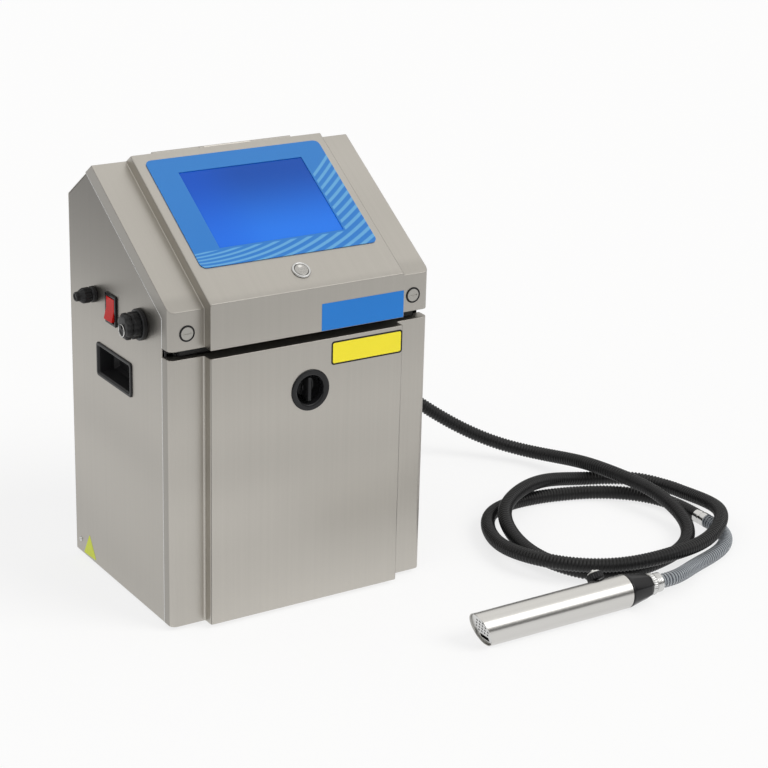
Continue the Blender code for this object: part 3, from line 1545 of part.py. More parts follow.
def make_head_cover():
    """The stainless tube with its slanted end, the perforated plate in it and the captive thumbscrew."""
    lean = HEAD_RADIUS * math.tan(math.radians(HEAD_CUT))
    cover = rod("head_cover", head_point(HEAD_LEFT - MM), head_point(HEAD_RIGHT), HEAD_RADIUS, sides=40)
    bore = rod(
        "cover_bore",
        head_point(HEAD_LEFT - 9 * MM),
        head_point(HEAD_RIGHT + MM),
        HEAD_RADIUS - HEAD_WALL,
        sides=40,
    )
    cut(cover, bore, slanted_block("cover_end", HEAD_LEFT + lean, 60 * MM))
    up = Vector((0, 1, 1)).normalized()
    axis_point = head_point(SCREW_X)
    cut(cover, rod("screw_hole", axis_point, axis_point + up * 2 * HEAD_RADIUS, 3 * MM + FIT, sides=16))
    finish(cover, "bright")
    plate_at = HEAD_LEFT + lean + 3 * MM
    plate = rod(
        "head_end_plate",
        head_point(HEAD_LEFT - 9 * MM),
        head_point(HEAD_LEFT + 50 * MM),
        HEAD_RADIUS - HEAD_WALL - FIT,
        sides=32,
    )
    cut(plate, slanted_block("plate_front", plate_at, 60 * MM))
    keep = slanted_block("plate_back", plate_at + 2 * MM, 60 * MM)
    boolean(plate, keep, "INTERSECT")
    pitch = 6.2 * MM
    for row in range(-1, 3):
        for column in range(-2, 3):
            y = (column + 0.5 * (row % 2)) * pitch
            z = row * pitch * 0.87 + 1 * MM
            if math.hypot(y, z) > HEAD_RADIUS - 6.5 * MM:
                continue
            cut(
                plate,
                rod(
                    f"plate_hole_{row}_{column}",
                    head_point(plate_at - 14 * MM, y, z),
                    head_point(plate_at + 16 * MM, y, z),
                    1.6 * MM,
                    sides=8,
                ),
            )
    slot = box(
        "plate_slot",
        head_point(plate_at - 20 * MM, -9 * MM, -15 * MM),
        head_point(plate_at + 20 * MM, 9 * MM, -9 * MM),
    )
    finish(cut(plate, slot), "bright")
    stem = rod(
        "head_thumbscrew", axis_point + up * (HEAD_CORE + FIT), axis_point + up * 27 * MM, 3 * MM, sides=16
    )
    knob = rod(
        "thumb_knob",
        axis_point + up * (HEAD_RADIUS + 1 * MM),
        axis_point + up * 34 * MM,
        SCREW_RADIUS,
        sides=24,
    )
    finish(join(stem, knob), "black")


def make_head_body():
    """The boss with its spigot in the tube, the nut on the hose, and the chassis with the ink parts on it."""
    shank = rod(
        "head_boss",
        head_point(HEAD_RIGHT - SPIGOT),
        head_point(HEAD_RIGHT + MM),
        HEAD_RADIUS - HEAD_WALL - FIT,
        sides=32,
    )
    taper = rod(
        "boss_taper",
        head_point(HEAD_RIGHT + FIT),
        head_point(HEAD_RIGHT + HEAD_BOSS),
        HEAD_RADIUS / math.cos(math.pi / 8) - 1.8 * MM,
        17 * MM,
        sides=8,
    )
    taper.data.transform(turn_about_head(math.pi / 8))
    finish(join(shank, taper), "black")
    nut_left = HEAD_RIGHT + HEAD_BOSS + FIT
    nut = rod(
        "head_nut",
        head_point(nut_left),
        head_point(CLEAR_ROUTE[-1][0] * MM - FIT),
        14 * MM,
        13 * MM,
        sides=24,
    )
    finish(nut, "bright")
    right = HEAD_RIGHT - SPIGOT - FIT
    chassis = rod("head_chassis", head_point(CHASSIS_LEFT), head_point(right), HEAD_CORE, sides=32)
    # The chassis is a round bar with its front half milled down to a flat bed that carries the ink parts.
    bed = HEAD_BED
    cut(
        chassis,
        box("bed_cut", head_point(CHASSIS_LEFT - MM, -30 * MM, bed), head_point(290 * MM, 30 * MM, 30 * MM)),
    )
    finish(chassis, "bright")
    floor = bed + FIT
    nozzle = box(
        "nozzle_block",
        head_point(262 * MM, -8 * MM, floor),
        head_point(288 * MM, 8 * MM, floor + 14 * MM),
        1.5 * MM,
    )
    join(
        nozzle,
        rod(
            "nozzle_tip",
            head_point(254 * MM, 0, floor + 7 * MM),
            head_point(263 * MM, 0, floor + 7 * MM),
            2.5 * MM,
            sides=14,
        ),
    )
    finish(nozzle, "bright")
    charge = box(
        "charge_electrode",
        head_point(238 * MM, -6 * MM, floor),
        head_point(249 * MM, 6 * MM, floor + 12 * MM),
    )
    cut(
        charge,
        box(
            "charge_slot",
            head_point(230 * MM, -1.2 * MM, floor + 4 * MM),
            head_point(255 * MM, 1.2 * MM, floor + 20 * MM),
        ),
    )
    finish(charge, "brass")
    for name, side in (("deflector_plate_upper", 1), ("deflector_plate_lower", -1)):
        near, far = sorted((side * 3.5 * MM, side * 6 * MM))
        plate = box(name, head_point(206 * MM, near, floor), head_point(232 * MM, far, floor + 13 * MM))
        finish(plate, "bright")
    gutter = box(
        "gutter_block", head_point(192 * MM, -5 * MM, floor), head_point(201 * MM, 5 * MM, floor + 8 * MM)
    )
    cut(
        gutter,
        rod(
            "gutter_bore",
            head_point(196 * MM, 0, floor + 5 * MM),
            head_point(210 * MM, 0, floor + 5 * MM),
            1.6 * MM,
            sides=12,
        ),
    )
    finish(gutter, "bright")


def turn_about_head(angle):
    place = Matrix.Translation(head_point(0))
    return place @ Matrix.Rotation(angle, 4, "X") @ place.inverted()


# ------------------------------------------------------------------ build
def main():
    make_base()
    make_sides()
    make_rear()
    make_shelf()
    make_rail()
    make_seal()
    make_door()
    make_door_pins()
    make_lid()
    make_fixed_leaf()
    make_hinge_pin()
    make_handle_cup("handle_cup_left", -1)
    make_handle_cup("handle_cup_right", 1)
    make_switch()
    make_gland()
    make_socket()
    make_fan()
    make_power_supply()
    make_control_board()
    finish(make_tank("ink_tank", INK_LOW, INK_SIZE, "black"), "blue")
    finish(make_tank("solvent_tank", SOLVENT_LOW, SOLVENT_SIZE, "white"), "red")
    make_manifold()
    make_pump()
    make_filter()
    make_hose()
    make_head_cover()
    make_head_body()


main()
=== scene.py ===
# %% [markdown]
# # A date code inkjet printer
# A stainless cabinet holds the ink, the pumps and the controls of a continuous inkjet printer, and a long
# hose carries ink, air and wires to a print head the size of a torch. This lesson dresses a packed
# engineering model of it: the frame gives every solid at its real size, and each cell below makes one
# finish or one finer surface around it. All lengths are metres, +Z is up and the cabinet faces -Y.
#
# First comes the frame, with a helper that reads any solid's box from it. The finished looks must stay
# inside it.

# %% Load the frame
import math

import bmesh
import bpy
import numpy as np
from mathutils import Matrix, Vector


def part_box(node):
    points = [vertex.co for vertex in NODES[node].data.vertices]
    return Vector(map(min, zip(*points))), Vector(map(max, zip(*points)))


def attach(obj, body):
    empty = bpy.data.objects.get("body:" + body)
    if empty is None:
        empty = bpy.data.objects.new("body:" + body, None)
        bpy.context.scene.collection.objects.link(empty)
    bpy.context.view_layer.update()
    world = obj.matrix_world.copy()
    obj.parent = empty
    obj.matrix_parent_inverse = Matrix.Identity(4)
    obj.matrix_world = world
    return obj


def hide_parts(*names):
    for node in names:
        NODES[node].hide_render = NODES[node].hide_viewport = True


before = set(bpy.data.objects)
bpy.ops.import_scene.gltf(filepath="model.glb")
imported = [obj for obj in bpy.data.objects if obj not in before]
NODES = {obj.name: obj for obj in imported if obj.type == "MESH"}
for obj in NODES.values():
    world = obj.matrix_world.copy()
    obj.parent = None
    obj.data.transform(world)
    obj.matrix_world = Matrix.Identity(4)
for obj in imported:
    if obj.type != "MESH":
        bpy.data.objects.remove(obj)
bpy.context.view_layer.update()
MM = 0.001

# %% [markdown]
# ## The camera
# The machine is seen from its front left corner, from a little above the lid. A long lens from nearly
# three metres keeps the upright edges almost parallel, as a catalogue view does. The camera stands on a
# sphere round the point that it looks at, so four plain numbers say where it is.

# %% Camera
TARGET = Vector((0.2126, 0, 0.2163))
AZIMUTH, ELEVATION, ROLL = math.radians(-32.84), math.radians(20.2), math.radians(1.556)
DISTANCE = 2.953
LENS = 101.65


def place_camera():
    """Position is the target plus the distance along the unit vector of azimuth and elevation."""
    data = bpy.data.cameras.new("camera")
    data.lens = LENS
    made = bpy.data.objects.new("camera", data)
    bpy.context.scene.collection.objects.link(made)
    level = math.cos(ELEVATION)
    away = Vector((math.sin(AZIMUTH) * level, -math.cos(AZIMUTH) * level, math.sin(ELEVATION)))
    turn = (-away).to_track_quat("-Z", "Y").to_matrix().to_4x4() @ Matrix.Rotation(ROLL, 4, "Z")
    made.matrix_world = Matrix.Translation(TARGET + away * DISTANCE) @ turn
    bpy.context.scene.camera = made
    return made


camera = place_camera()
print("camera at", np.round(camera.matrix_world.translation, 3).tolist())

# %% [markdown]
# ## Surfaces from numpy
# Every new piece is a grid of points. Rings of equal length are stacked, neighbours are joined by quads,
# and the first and last ring are closed by one face each. A signed volume tells whether the skin came out
# inside out, and then its faces are turned. Small helpers ease the corners of an outline, turn a profile
# about an axis, loft rounded rectangles, and bring points from a piece's own axes into the world.

# %% Mesh helpers
SLOPE = np.array([0, 208.5, 133.0]) / math.hypot(208.5, 133.0)  # up the lid's slope
SLOPE_OUT = np.array([0, -SLOPE[2], SLOPE[1]])
RIGHT, BACKWARD, UP = np.eye(3)
LEFT_SIDE = (-BACKWARD, UP, -RIGHT)  # across, up and out of the left panel
RIGHT_SIDE = (BACKWARD, UP, RIGHT)
FRONT_SIDE = (RIGHT, UP, -BACKWARD)
REAR_SIDE = (-RIGHT, UP, BACKWARD)
LID_SLOPE = (RIGHT, SLOPE, SLOPE_OUT)


def add_piece(name, body):
    """An empty mesh object that rides on a body."""
    piece = bpy.data.objects.new(name, bpy.data.meshes.new(name))
    bpy.context.scene.collection.objects.link(piece)
    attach(piece, body)
    return piece


def volume_of(points, quads):
    """A sixth of the sum of a . (b x c) over the two triangles of each quad."""
    a, b, c, d = (points[quads[:, k]] for k in range(4))
    return (np.einsum("ij,ij->", a, np.cross(b, c)) + np.einsum("ij,ij->", a, np.cross(c, d))) / 6


def skin(name, rings, body, loop=False, angle=35):
    """Rings (count, around, 3) stacked into a closed skin: point j of ring i meets j + 1 and ring i + 1."""
    rings = np.asarray(rings, float)
    count, around = rings.shape[:2]
    points = rings.reshape(-1, 3)
    i, j = np.meshgrid(np.arange(count if loop else count - 1), np.arange(around), indexing="ij")
    up, side = (i + 1) % count * around, (j + 1) % around
    quads = np.stack([i * around + j, up + j, up + side, i * around + side], -1).reshape(-1, 4)
    inward = volume_of(points - points.mean(0), quads) < 0
    faces = quads.tolist()
    if not loop:
        faces += [list(range(around)), list(range((count - 1) * around, count * around))[::-1]]
    piece = add_piece(name, body)
    piece.data.from_pydata(points.tolist(), [], [face[::-1] for face in faces] if inward else faces)
    piece.data.shade_smooth()
    piece.data.set_sharp_from_angle(angle=math.radians(angle))
    return piece


def placed(local, origin, axes):
    """Local (a, b, c) becomes origin + a * across + b * up + c * out."""
    return np.asarray(origin) + np.asarray(local) @ np.array(axes)


def eased(points, radius, steps=3):
    """An open outline whose inner corners become small quadratic curves between points on both legs."""
    points = np.asarray(points, float)
    made = [points[:1]]
    for before, corner, after in zip(points, points[1:], points[2:]):
        legs = [before - corner, after - corner]
        lengths = [np.linalg.norm(leg) for leg in legs]
        start, end = (corner + leg * min(radius / size, 0.45) for leg, size in zip(legs, lengths))
        t = np.linspace(0, 1, steps + 1)[:, None]
        made.append((1 - t) ** 2 * start + 2 * t * (1 - t) * corner + t**2 * end)
    return np.concatenate([*made, points[-1:]])


def turned(
    name, profile, origin, axes, body, sides=48, wave=None, ease=0.6 * MM, ring=False
):
    """A profile of (radius, height) turned about the out axis. wave(angle, height) may scale the radius.

    A ring's profile goes all the way round its own section, so the last point is joined to the first.
    """
    outline = eased([*profile, profile[0]], ease)[:-1] if ring else eased(profile, ease)
    theta = np.linspace(0, 2 * math.pi, sides, endpoint=False)
    radius = np.repeat(outline[:, :1], sides, 1)
    height = np.repeat(outline[:, 1:], sides, 1)
    if wave:
        radius = radius * wave(theta[None, :], height)
    local = np.stack([radius * np.cos(theta), radius * np.sin(theta), height], -1)
    return skin(name, placed(local, origin, axes), body, loop=ring)


def rounded_ring(half_wide, half_high, corner, steps=6):
    """A rectangle's outline with round corners: each quarter circle sits at its own corner's centre."""
    angle = np.linspace(0, math.pi / 2, steps + 1)
    ring = []
    for quarter, (side_u, side_v) in enumerate([(1, 1), (-1, 1), (-1, -1), (1, -1)]):
        turn = angle + quarter * math.pi / 2
        middle = np.array([side_u * (half_wide - corner), side_v * (half_high - corner)])
        ring.append(middle + corner * np.stack([np.cos(turn), np.sin(turn)], -1))
    return np.concatenate(ring)


def lofted(name, sections, origin, axes, body, steps=6):
    """Rounded rectangles (half width, half height, corner radius, height) carried one above the other."""
    rings = [
        np.column_stack([rounded_ring(wide, high, corner, steps), np.full(4 * (steps + 1), level)])
        for wide, high, corner, level in sections
    ]
    return skin(name, placed(np.array(rings), origin, axes), body)


def in_mm(rows):
    return [tuple(value * MM for value in row) for row in rows]


def centre_of(node):
    low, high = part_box(node)
    return np.array((low + high) / 2)


print("slope of the lid:", round(math.degrees(math.atan2(SLOPE[2], SLOPE[1])), 1), "degrees")

# %% [markdown]
# ## The hose's route
# The hose leaves the rear gland, swings down behind the cabinet and lies in two loose loops beside it. A
# natural cubic curve through listed points gives one smooth route, as a stiff hose would take. The
# route is the same as in the frame's own solids, so the fine hose lies exactly where they do.

# %% Cord routes
HOSE = 10 * MM
HOSE_ROUTE = [
    (115, 190, 262), (115, 204, 262), (121, 266, 255), (164, 322, 227), (238, 330, 190), (320, 288, 150),
    (390, 226, 100), (450, 185, 55), (504, 140, 27), (548, 80, 20), (567, 9, 29), (574, -67, 36),
    (588, -140, 31), (582, -214, 17), (534, -271, 14), (464, -300, 15), (391, -291, 10), (341, -235, 14),
    (335, -161, 18), (360, -91, 29), (419, -45, 33), (487, -17, 25), (562, -12, 11), (626, -50, 11),
    (657, -119, 10), (648, -194, 21), (607, -261, 33), (549, -302, 32), (477, -319, 33), (404, -310, 30),
    (340, -271, 28), (306, -204, 24), (314, -131, 16), (353, -65, 15), (419, -34, 11), (495, -41, 10),
    (562, -72, 11), (611, -126, 10), (620, -180, 10), (620, -196, 10),
]
CLEAR_ROUTE = [
    (620, -219, 10), (620, -232, 10), (617, -250, 10), (605, -275, 10), (583, -296, 10), (553, -311, 10),
    (520, -323, 11), (489, -338, 15), (459, -354, 20), (432, -362, 22.5), (415.3, -362, 22.5),
]


def smooth_route(points, spacing):
    """The natural cubic curve by chord length, read at even steps, with straight ends, kept off the floor."""
    knots = np.array(points, float) * MM
    chord = np.linalg.norm(np.diff(knots, axis=0), axis=1)
    at = np.concatenate([[0], np.cumsum(chord)])
    rows, right = np.eye(len(at)), np.zeros((len(at), 3))
    for i in range(1, len(at) - 1):
        rows[i, i - 1 : i + 2] = chord[i - 1], 2 * (chord[i - 1] + chord[i]), chord[i]
        right[i] = 6 * ((knots[i + 1] - knots[i]) / chord[i] - (knots[i] - knots[i - 1]) / chord[i - 1])
    bend = np.linalg.solve(rows, right)
    where = np.linspace(0, at[-1], round(at[-1] / spacing) + 1)
    i = np.clip(np.searchsorted(at, where, side="right") - 1, 0, len(at) - 2)
    width, a, b = chord[i][:, None], (at[i + 1] - where)[:, None], (where - at[i])[:, None]
    curve = (bend[i] * a**3 + bend[i + 1] * b**3) / (6 * width)
    curve += (knots[i] / width - bend[i] * width / 6) * a
    curve += (knots[i + 1] / width - bend[i + 1] * width / 6) * b
    straight = [where <= at[1], where >= at[-2]]
    for k, (first, last) in zip(straight, [(0, 1), (-2, -1)]):
        share = ((where[k] - at[first]) / (at[last] - at[first]))[:, None]
        curve[k] = knots[first] * (1 - share) + knots[last] * share
    curve[:, 2] = np.maximum(curve[:, 2], HOSE)
    return curve


def length_of(path):
    return float(np.linalg.norm(np.diff(path, axis=0), axis=1).sum())


# %% [markdown]
# ## A ribbed tube along a route
# The hoses are corrugated: round ribs every five millimetres stiffen the wall and let it bend. The tube's
# frame is carried along the route without twist, so the ribs stay square to it, and the radius swings
# between crest and valley. Eight rings to each rib are enough to catch the light on every crest.

# %% Ribbed hoses
def carried_frames(path):
    """Two unit normals along a path. Each is the last one less its share along the new direction."""
    ahead = np.gradient(path, axis=0)
    ahead /= np.linalg.norm(ahead, axis=1)[:, None]
    side = np.empty_like(path)
    side[0] = np.cross(ahead[0], UP if abs(ahead[0] @ UP) < 0.9 else RIGHT)
    side[0] /= np.linalg.norm(side[0])
    for k in range(1, len(path)):
        side[k] = side[k - 1] - ahead[k] * (side[k - 1] @ ahead[k])
        side[k] /= np.linalg.norm(side[k])
    return side, np.cross(ahead, side)


def tube_along(name, path, radii, body, sides=18):
    """Circles of the given radii stand square to the path."""
    side, over = carried_frames(path)
    theta = np.linspace(0, 2 * math.pi, sides, endpoint=False)
    radii = np.broadcast_to(radii, len(path))[:, None, None]
    circle = np.cos(theta)[None, :, None] * side[:, None] + np.sin(theta)[None, :, None] * over[:, None]
    piece = skin(name, path[:, None] + radii * circle, body, angle=60)
    along = np.concatenate([[0], np.cumsum(np.linalg.norm(np.diff(path, axis=0), axis=1))])
    piece.data.attributes.new("along", "FLOAT", "POINT").data.foreach_set("value", np.repeat(along, sides))
    return piece


def ribbed_radii(path, crest, depth, pitch):
    """Crest less depth times a narrow valley once per pitch: the valley is a raised cosine squared."""
    along = np.concatenate([[0], np.cumsum(np.linalg.norm(np.diff(path, axis=0), axis=1))])
    valley = (0.5 - 0.5 * np.cos(2 * math.pi * along / pitch)) ** 1.5
    return crest - depth * valley


RIB_PITCH, RIB_STEPS = 4.8 * MM, 8
hose_path = smooth_route(HOSE_ROUTE, RIB_PITCH / RIB_STEPS)
clear_path = smooth_route(CLEAR_ROUTE, RIB_PITCH / RIB_STEPS)
hose_radii = ribbed_radii(hose_path, HOSE, 1.3 * MM, RIB_PITCH)
clear_radii = ribbed_radii(clear_path, HOSE, 1.4 * MM, RIB_PITCH)
hose = tube_along("hose_black", hose_path, hose_radii, "cabinet")
clear = tube_along("hose_clear", clear_path, clear_radii, "cabinet")
core = tube_along("hose_core", clear_path[3:-3:4], 6.5 * MM, "cabinet", 12)
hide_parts("umbilical_hose")
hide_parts("clear_hose")

ferrule_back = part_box("hose_ferrule")[1].y
ferrule = turned(
    "hose_ring",
    in_mm([(8, 0), (9.6, 0), (9.6, 9), (9, 9.6), (9, 12.4), (9.9, 13), (9.9, 22.4), (8, 22.4)]),
    (centre_of("hose_ferrule")[0], ferrule_back, HOSE),
    (RIGHT, UP, -BACKWARD),
    "cabinet",
)
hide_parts("hose_ferrule")
print("black hose", round(length_of(hose_path), 3), "m, clear hose", round(length_of(clear_path), 3), "m")

# %% [markdown]
# ## Shader maths as Python
# A finish is a small graph of nodes. Wrapping a node's output in a class whose operators add Math nodes
# lets a pattern be written as a formula, such as 1 - mask. One method makes every other node from its
# type, its settings and the values of its sockets.

# %% Socket and Finish
class Socket:
    """The output of one node. Arithmetic on it adds Math nodes to the same tree."""

    def __init__(self, nodes, link):
        self.nodes, self.link = nodes, link

    def math(self, operation, *others):
        values = dict(enumerate((self, *others)))
        return self.nodes.node("ShaderNodeMath", {"operation": operation}, values)

    def __add__(self, other):
        return self.math("ADD", other)

    def __sub__(self, other):
        return self.math("SUBTRACT", other)

    def __rsub__(self, other):
        return self.nodes.node("ShaderNodeMath", {"operation": "SUBTRACT"}, {0: other, 1: self})

    def __mul__(self, other):
        return self.math("MULTIPLY", other)

    def __truediv__(self, other):
        return self.math("DIVIDE", other)

    __radd__, __rmul__ = __add__, __mul__


class Nodes:
    """Adds nodes to one tree."""

    def __init__(self, tree):
        self.tree = tree

    def node(self, kind, settings=None, sockets=None, output=0):
        made = self.tree.nodes.new(kind)
        for key, value in (settings or {}).items():
            setattr(made, key, value)
        for key, value in (sockets or {}).items():
            self.feed(made.inputs[key], value)
        return Socket(self, made.outputs[output])

    def feed(self, target, value):
        if isinstance(value, Socket):
            self.tree.links.new(value.link, target)
        else:
            target.default_value = value

    def split(self, vector):
        first = self.node("ShaderNodeSeparateXYZ", {}, {0: vector})
        return [Socket(self, output) for output in first.link.node.outputs]

    def mix(self, factor, first, second):
        return self.node("ShaderNodeMix", {"data_type": "RGBA"}, {0: factor, 6: first, 7: second}, 2)

    def smooth(self, value, low, high):
        """0 below low, 1 above high, and an S curve between them."""
        settings = {"interpolation_type": "SMOOTHSTEP"}
        return self.node("ShaderNodeMapRange", settings, {0: value, 1: low, 2: high})


class Finish(Nodes):
    """One procedural material on a Principled shader."""

    def __init__(self, name, roughness=0.5, metallic=0.0, **constants):
        self.material = bpy.data.materials.new(name)
        self.material.use_nodes = True
        super().__init__(self.material.node_tree)
        self.shader = self.tree.nodes["Principled BSDF"]
        self.place = self.node("ShaderNodeTexCoord", output=3)
        self.put("Roughness", roughness)
        self.put("Metallic", metallic)
        for key, value in constants.items():
            self.put(key.replace("_", " "), value)

    def put(self, socket, value):
        self.feed(self.shader.inputs[socket], value)

    def noise(self, scale, stretch=(1, 1, 1), detail=3.0):
        """Cloudy values from 0 to 1, with this many features to the metre along each axis."""
        spread = self.node("ShaderNodeMapping", {}, {"Vector": self.place, "Scale": stretch})
        return self.node("ShaderNodeTexNoise", {}, {"Vector": spread, "Scale": scale, "Detail": detail})

    def paint(self, colour, tone=None):
        """The colour, times a tone that varies over the surface if one is given."""
        if tone is None:
            self.put("Base Color", (*colour, 1))
        else:
            scaled = self.node("ShaderNodeVectorMath", {"operation": "SCALE"}, {0: colour, 3: tone})
            self.put("Base Color", scaled)

    def raise_by(self, height, depth, strength=1.0):
        """Feeds the normal from a height of 0 to 1 that stands for this many metres."""
        bump = self.node("ShaderNodeBump", {}, {"Strength": strength, "Distance": depth, "Height": height})
        self.put("Normal", bump)


def dress(finish, *names):
    """Gives a finish to pieces or CAD nodes by name, through their material slots."""
    for name in names:
        thing = bpy.data.objects[name] if isinstance(name, str) else name
        if not thing.material_slots:
            thing.data.materials.append(finish.material)
        for place in thing.material_slots:
            place.material = finish.material


# %% [markdown]
# ## Brushed stainless steel
# The cabinet is folded from brushed sheet. The brush leaves hair-fine lines all one way, so the noise is
# stretched: thousands of features to the metre across the lines and a handful along them. The same lines
# drive a faint change of tone, the roughness and a very shallow bump, and a slow cloud of handling marks
# keeps large panels from looking printed. Such sheet also mirrors its room softly, which a plain studio
# lacks, so a painted reflection, a change of tone with height, stands in for it: the sides and the front
# get duller upwards and the slope paler. The front's steel is also painted paler than the sides', as
# painted light, and the outer faces of the side flanges carry painted shade.

# %% Steel finishes
def brushed(name, colour, roughness, stretch, lines=1.0, flange_shade=0.3, painted_reflection=()):
    """Painted reflection is a list of (low, high, change): how the tone changes between two heights, standing
    in for a room that the sheet would mirror. Flange shade is painted shade: the share of tone taken off the
    side flanges' outer faces.
    """
    made = Finish(name, metallic=1.0)
    fine = made.noise(1.0, stretch, 4)
    bands = made.noise(1.0, tuple(k / 14 for k in stretch), 2)
    cloud = made.noise(1.0, (1.6, 1.6, 6.5), detail=1)
    x, _, z = made.split(made.place)
    away = x.math("ABSOLUTE")
    # Painted shade: faces about 184.5 mm or more out from the middle, the side flanges' outer faces, lose
    # this share of their tone.
    painted_flange_shade = made.smooth(away, 184.3 * MM, 184.8 * MM) * flange_shade
    tone = 0.72 + 0.09 * lines * fine + 0.06 * lines * bands + 0.42 * cloud
    # Painted reflection: the tone changes with height, standing in for the room that the sheet would mirror.
    for low, high, change in painted_reflection:
        tone = tone * (1 + change * made.smooth(z, low, high))
    made.paint(colour, tone * (1 - painted_flange_shade))
    made.put("Roughness", roughness - 0.05 + 0.06 * fine + 0.09 * cloud)
    made.raise_by(fine, 0.02 * MM, 0.5 * lines)
    return made


STEEL = (0.47, 0.448, 0.41)
ACROSS_X, ACROSS_Y = (2600, 9, 9), (9, 2600, 9)
# Painted light: the front's steel is the sides' steel made about an eighth paler, so the door, the lid and
# the rear read brighter than the sides.
LIT_FRONT_STEEL = (0.53, 0.506, 0.464)
# Painted reflection on the front: duller up to the fold and paler on the slope.
FRONT_PAINTED_REFLECTION = [(0.2, 0.4, -0.21), (0.427, 0.436, 0.12)]  # duller up to the fold, paler on the slope
steel_front = brushed("steel_brushed_front", LIT_FRONT_STEEL, 0.36, ACROSS_X, painted_reflection=FRONT_PAINTED_REFLECTION)
# Painted reflection on the sides: the tone falls by up to 60 % towards the top.
steel_side = brushed("steel_brushed_side", STEEL, 0.36, ACROSS_Y, painted_reflection=[(0.25, 0.56, -0.6)])
head_steel = brushed("steel_head", (0.6, 0.59, 0.57), 0.19, (5, 1500, 1500), 0.7, 0.0)


def machined(name, colour, roughness, centre, axes, pitch=0.35 * MM):
    """Turned metal: rings round an axis, from a wave of the distance to it."""
    made = Finish(name, metallic=1.0)
    across, up, _ = axes
    away = {0: made.place, 1: tuple(centre)}
    from_axis = made.node("ShaderNodeVectorMath", {"operation": "SUBTRACT"}, away)
    sides = [
        made.node("ShaderNodeVectorMath", {"operation": "DOT_PRODUCT"}, {0: from_axis, 1: tuple(way)}, 1)
        for way in (across, up)
    ]
    distance = (sides[0] * sides[0] + sides[1] * sides[1]).math("SQRT")
    rings = (distance * (2 * math.pi / pitch)).math("SINE")
    made.paint(colour, 0.93 + 0.05 * rings + 0.06 * made.noise(400))
    made.put("Roughness", roughness + 0.05 * rings)
    made.raise_by(rings, 0.012 * MM, 0.4)
    return made


def plated(name, colour, roughness, grain):
    """Zinc plate or plain cast metal: blotches of tone with a fine sparkle."""
    made = Finish(name, metallic=1.0)
    blotch = made.noise(grain, detail=5)
    speck = made.noise(grain * 30, detail=2)
    made.paint(colour, 0.84 + 0.2 * blotch + 0.06 * speck)
    made.put("Roughness", roughness + 0.14 * blotch)
    made.raise_by(speck, 0.01 * MM, 0.4)
    return made


bright = plated("metal_bright", (0.66, 0.66, 0.65), 0.16, 60)
satin = plated("metal_satin", (0.86, 0.86, 0.84), 0.4, 60)
zinc = plated("metal_zinc_plate", (0.55, 0.56, 0.55), 0.32, 35)
cast = plated("metal_cast", (0.42, 0.42, 0.42), 0.48, 90)
brass = plated("metal_brass", (0.72, 0.5, 0.2), 0.24, 80)
print("steel, machined, plated and cast finishes")

# %% [markdown]
# ## Plastics, rubber and glass
# Moulded plastic has a spark-eroded grain, finer than a millimetre, which softens its gloss. Rubber is
# duller and a little dusty. Bottles are milky and soft edged. Each finish is the same three steps with
# other numbers, so one function makes them all. The clear hose also has a dark wire to each rib, which
# comes from the length along it.

# %% Plastic finishes
def moulded(name, colour, roughness, grain=900, depth=0.03, dust=0.08, **constants):
    made = Finish(name, **constants)
    texture = made.noise(grain, detail=3)
    haze = made.noise(18, detail=4)
    made.paint(colour, 1.0 - dust + 2 * dust * haze)
    made.put("Roughness", roughness - 0.06 + 0.12 * haze)
    made.put("Specular IOR Level", 0.28)
    made.raise_by(texture, depth * MM, 0.45)
    return made


black_plastic = moulded("plastic_black", (0.014, 0.014, 0.015), 0.36)
gloss_black = moulded("plastic_black_gloss", (0.01, 0.01, 0.011), 0.2, 300, 0.01)
rubber = moulded("rubber_black", (0.03, 0.03, 0.03), 0.72, 500, 0.05, 0.16)
hose_skin = moulded("hose_black_skin", (0.012, 0.012, 0.0125), 0.34, 260, 0.03, 0.22)
hose_window = moulded("hose_clear_skin", (0.36, 0.39, 0.43), 0.2, 200, 0.02, 0.1, Alpha=0.5, Coat_Weight=0.4)
hose_core_skin = moulded("hose_core_skin", (0.2, 0.215, 0.235), 0.4, 200, 0.05, 0.3)
along = hose_window.node("ShaderNodeAttribute", {"attribute_name": "along"}, output=2)
turn = (along / RIB_PITCH).math("PINGPONG", 0.5)
wire = hose_window.smooth(turn, 0.2, 0.36)
hose_window.put("Base Color", hose_window.mix(wire, (0.56, 0.6, 0.64, 1), (0.05, 0.058, 0.07, 1)))
hose_window.put("Alpha", 0.45 + 0.45 * wire)
red_plastic = moulded("plastic_red", (0.5, 0.008, 0.006), 0.16, 400, 0.01, 0.05)
red_plastic.put("Specular IOR Level", 0.12)
blue_plastic = moulded("plastic_blue", (0.03, 0.13, 0.5), 0.36)
milky = moulded("plastic_milky", (0.74, 0.75, 0.72), 0.42, 120, 0.06, 0.05)
white_plastic = moulded("plastic_white", (0.72, 0.73, 0.72), 0.4)
print("black, red, blue, white and milky plastics, rubber and hose skins")

# %% [markdown]
# ## The blue overlay and the screen
# A printed film covers the lid's slope round the screen. Its light stripes fan out from the lower left and
# steepen to the right. Each stripe is a curve on which (s - s0) / (x - x0) less a constant times (x - x0)
# stays the same, with x across the lid and s up its slope, so the stripes are the fractional part of that
# number. The screen behind its glass shows a plain blue field, darker at the top.

# %% Overlay and screen finishes
LID_BEND = (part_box("door")[0].y, 0.42877)  # y and z of the fold where the slope starts
STRIPE_X, STRIPE_S, STRIPE_CURVE, STRIPE_TOP, STRIPE_PITCH = -0.284, 0.113, 1.677, -0.44, 0.031


def slope_places(made):
    """Across x and up the slope s, in metres, from the object's own coordinates."""
    x, y, z = made.split(made.place)
    return x, (y - LID_BEND[0]) * float(SLOPE[1]) + (z - LID_BEND[1]) * float(SLOPE[2])


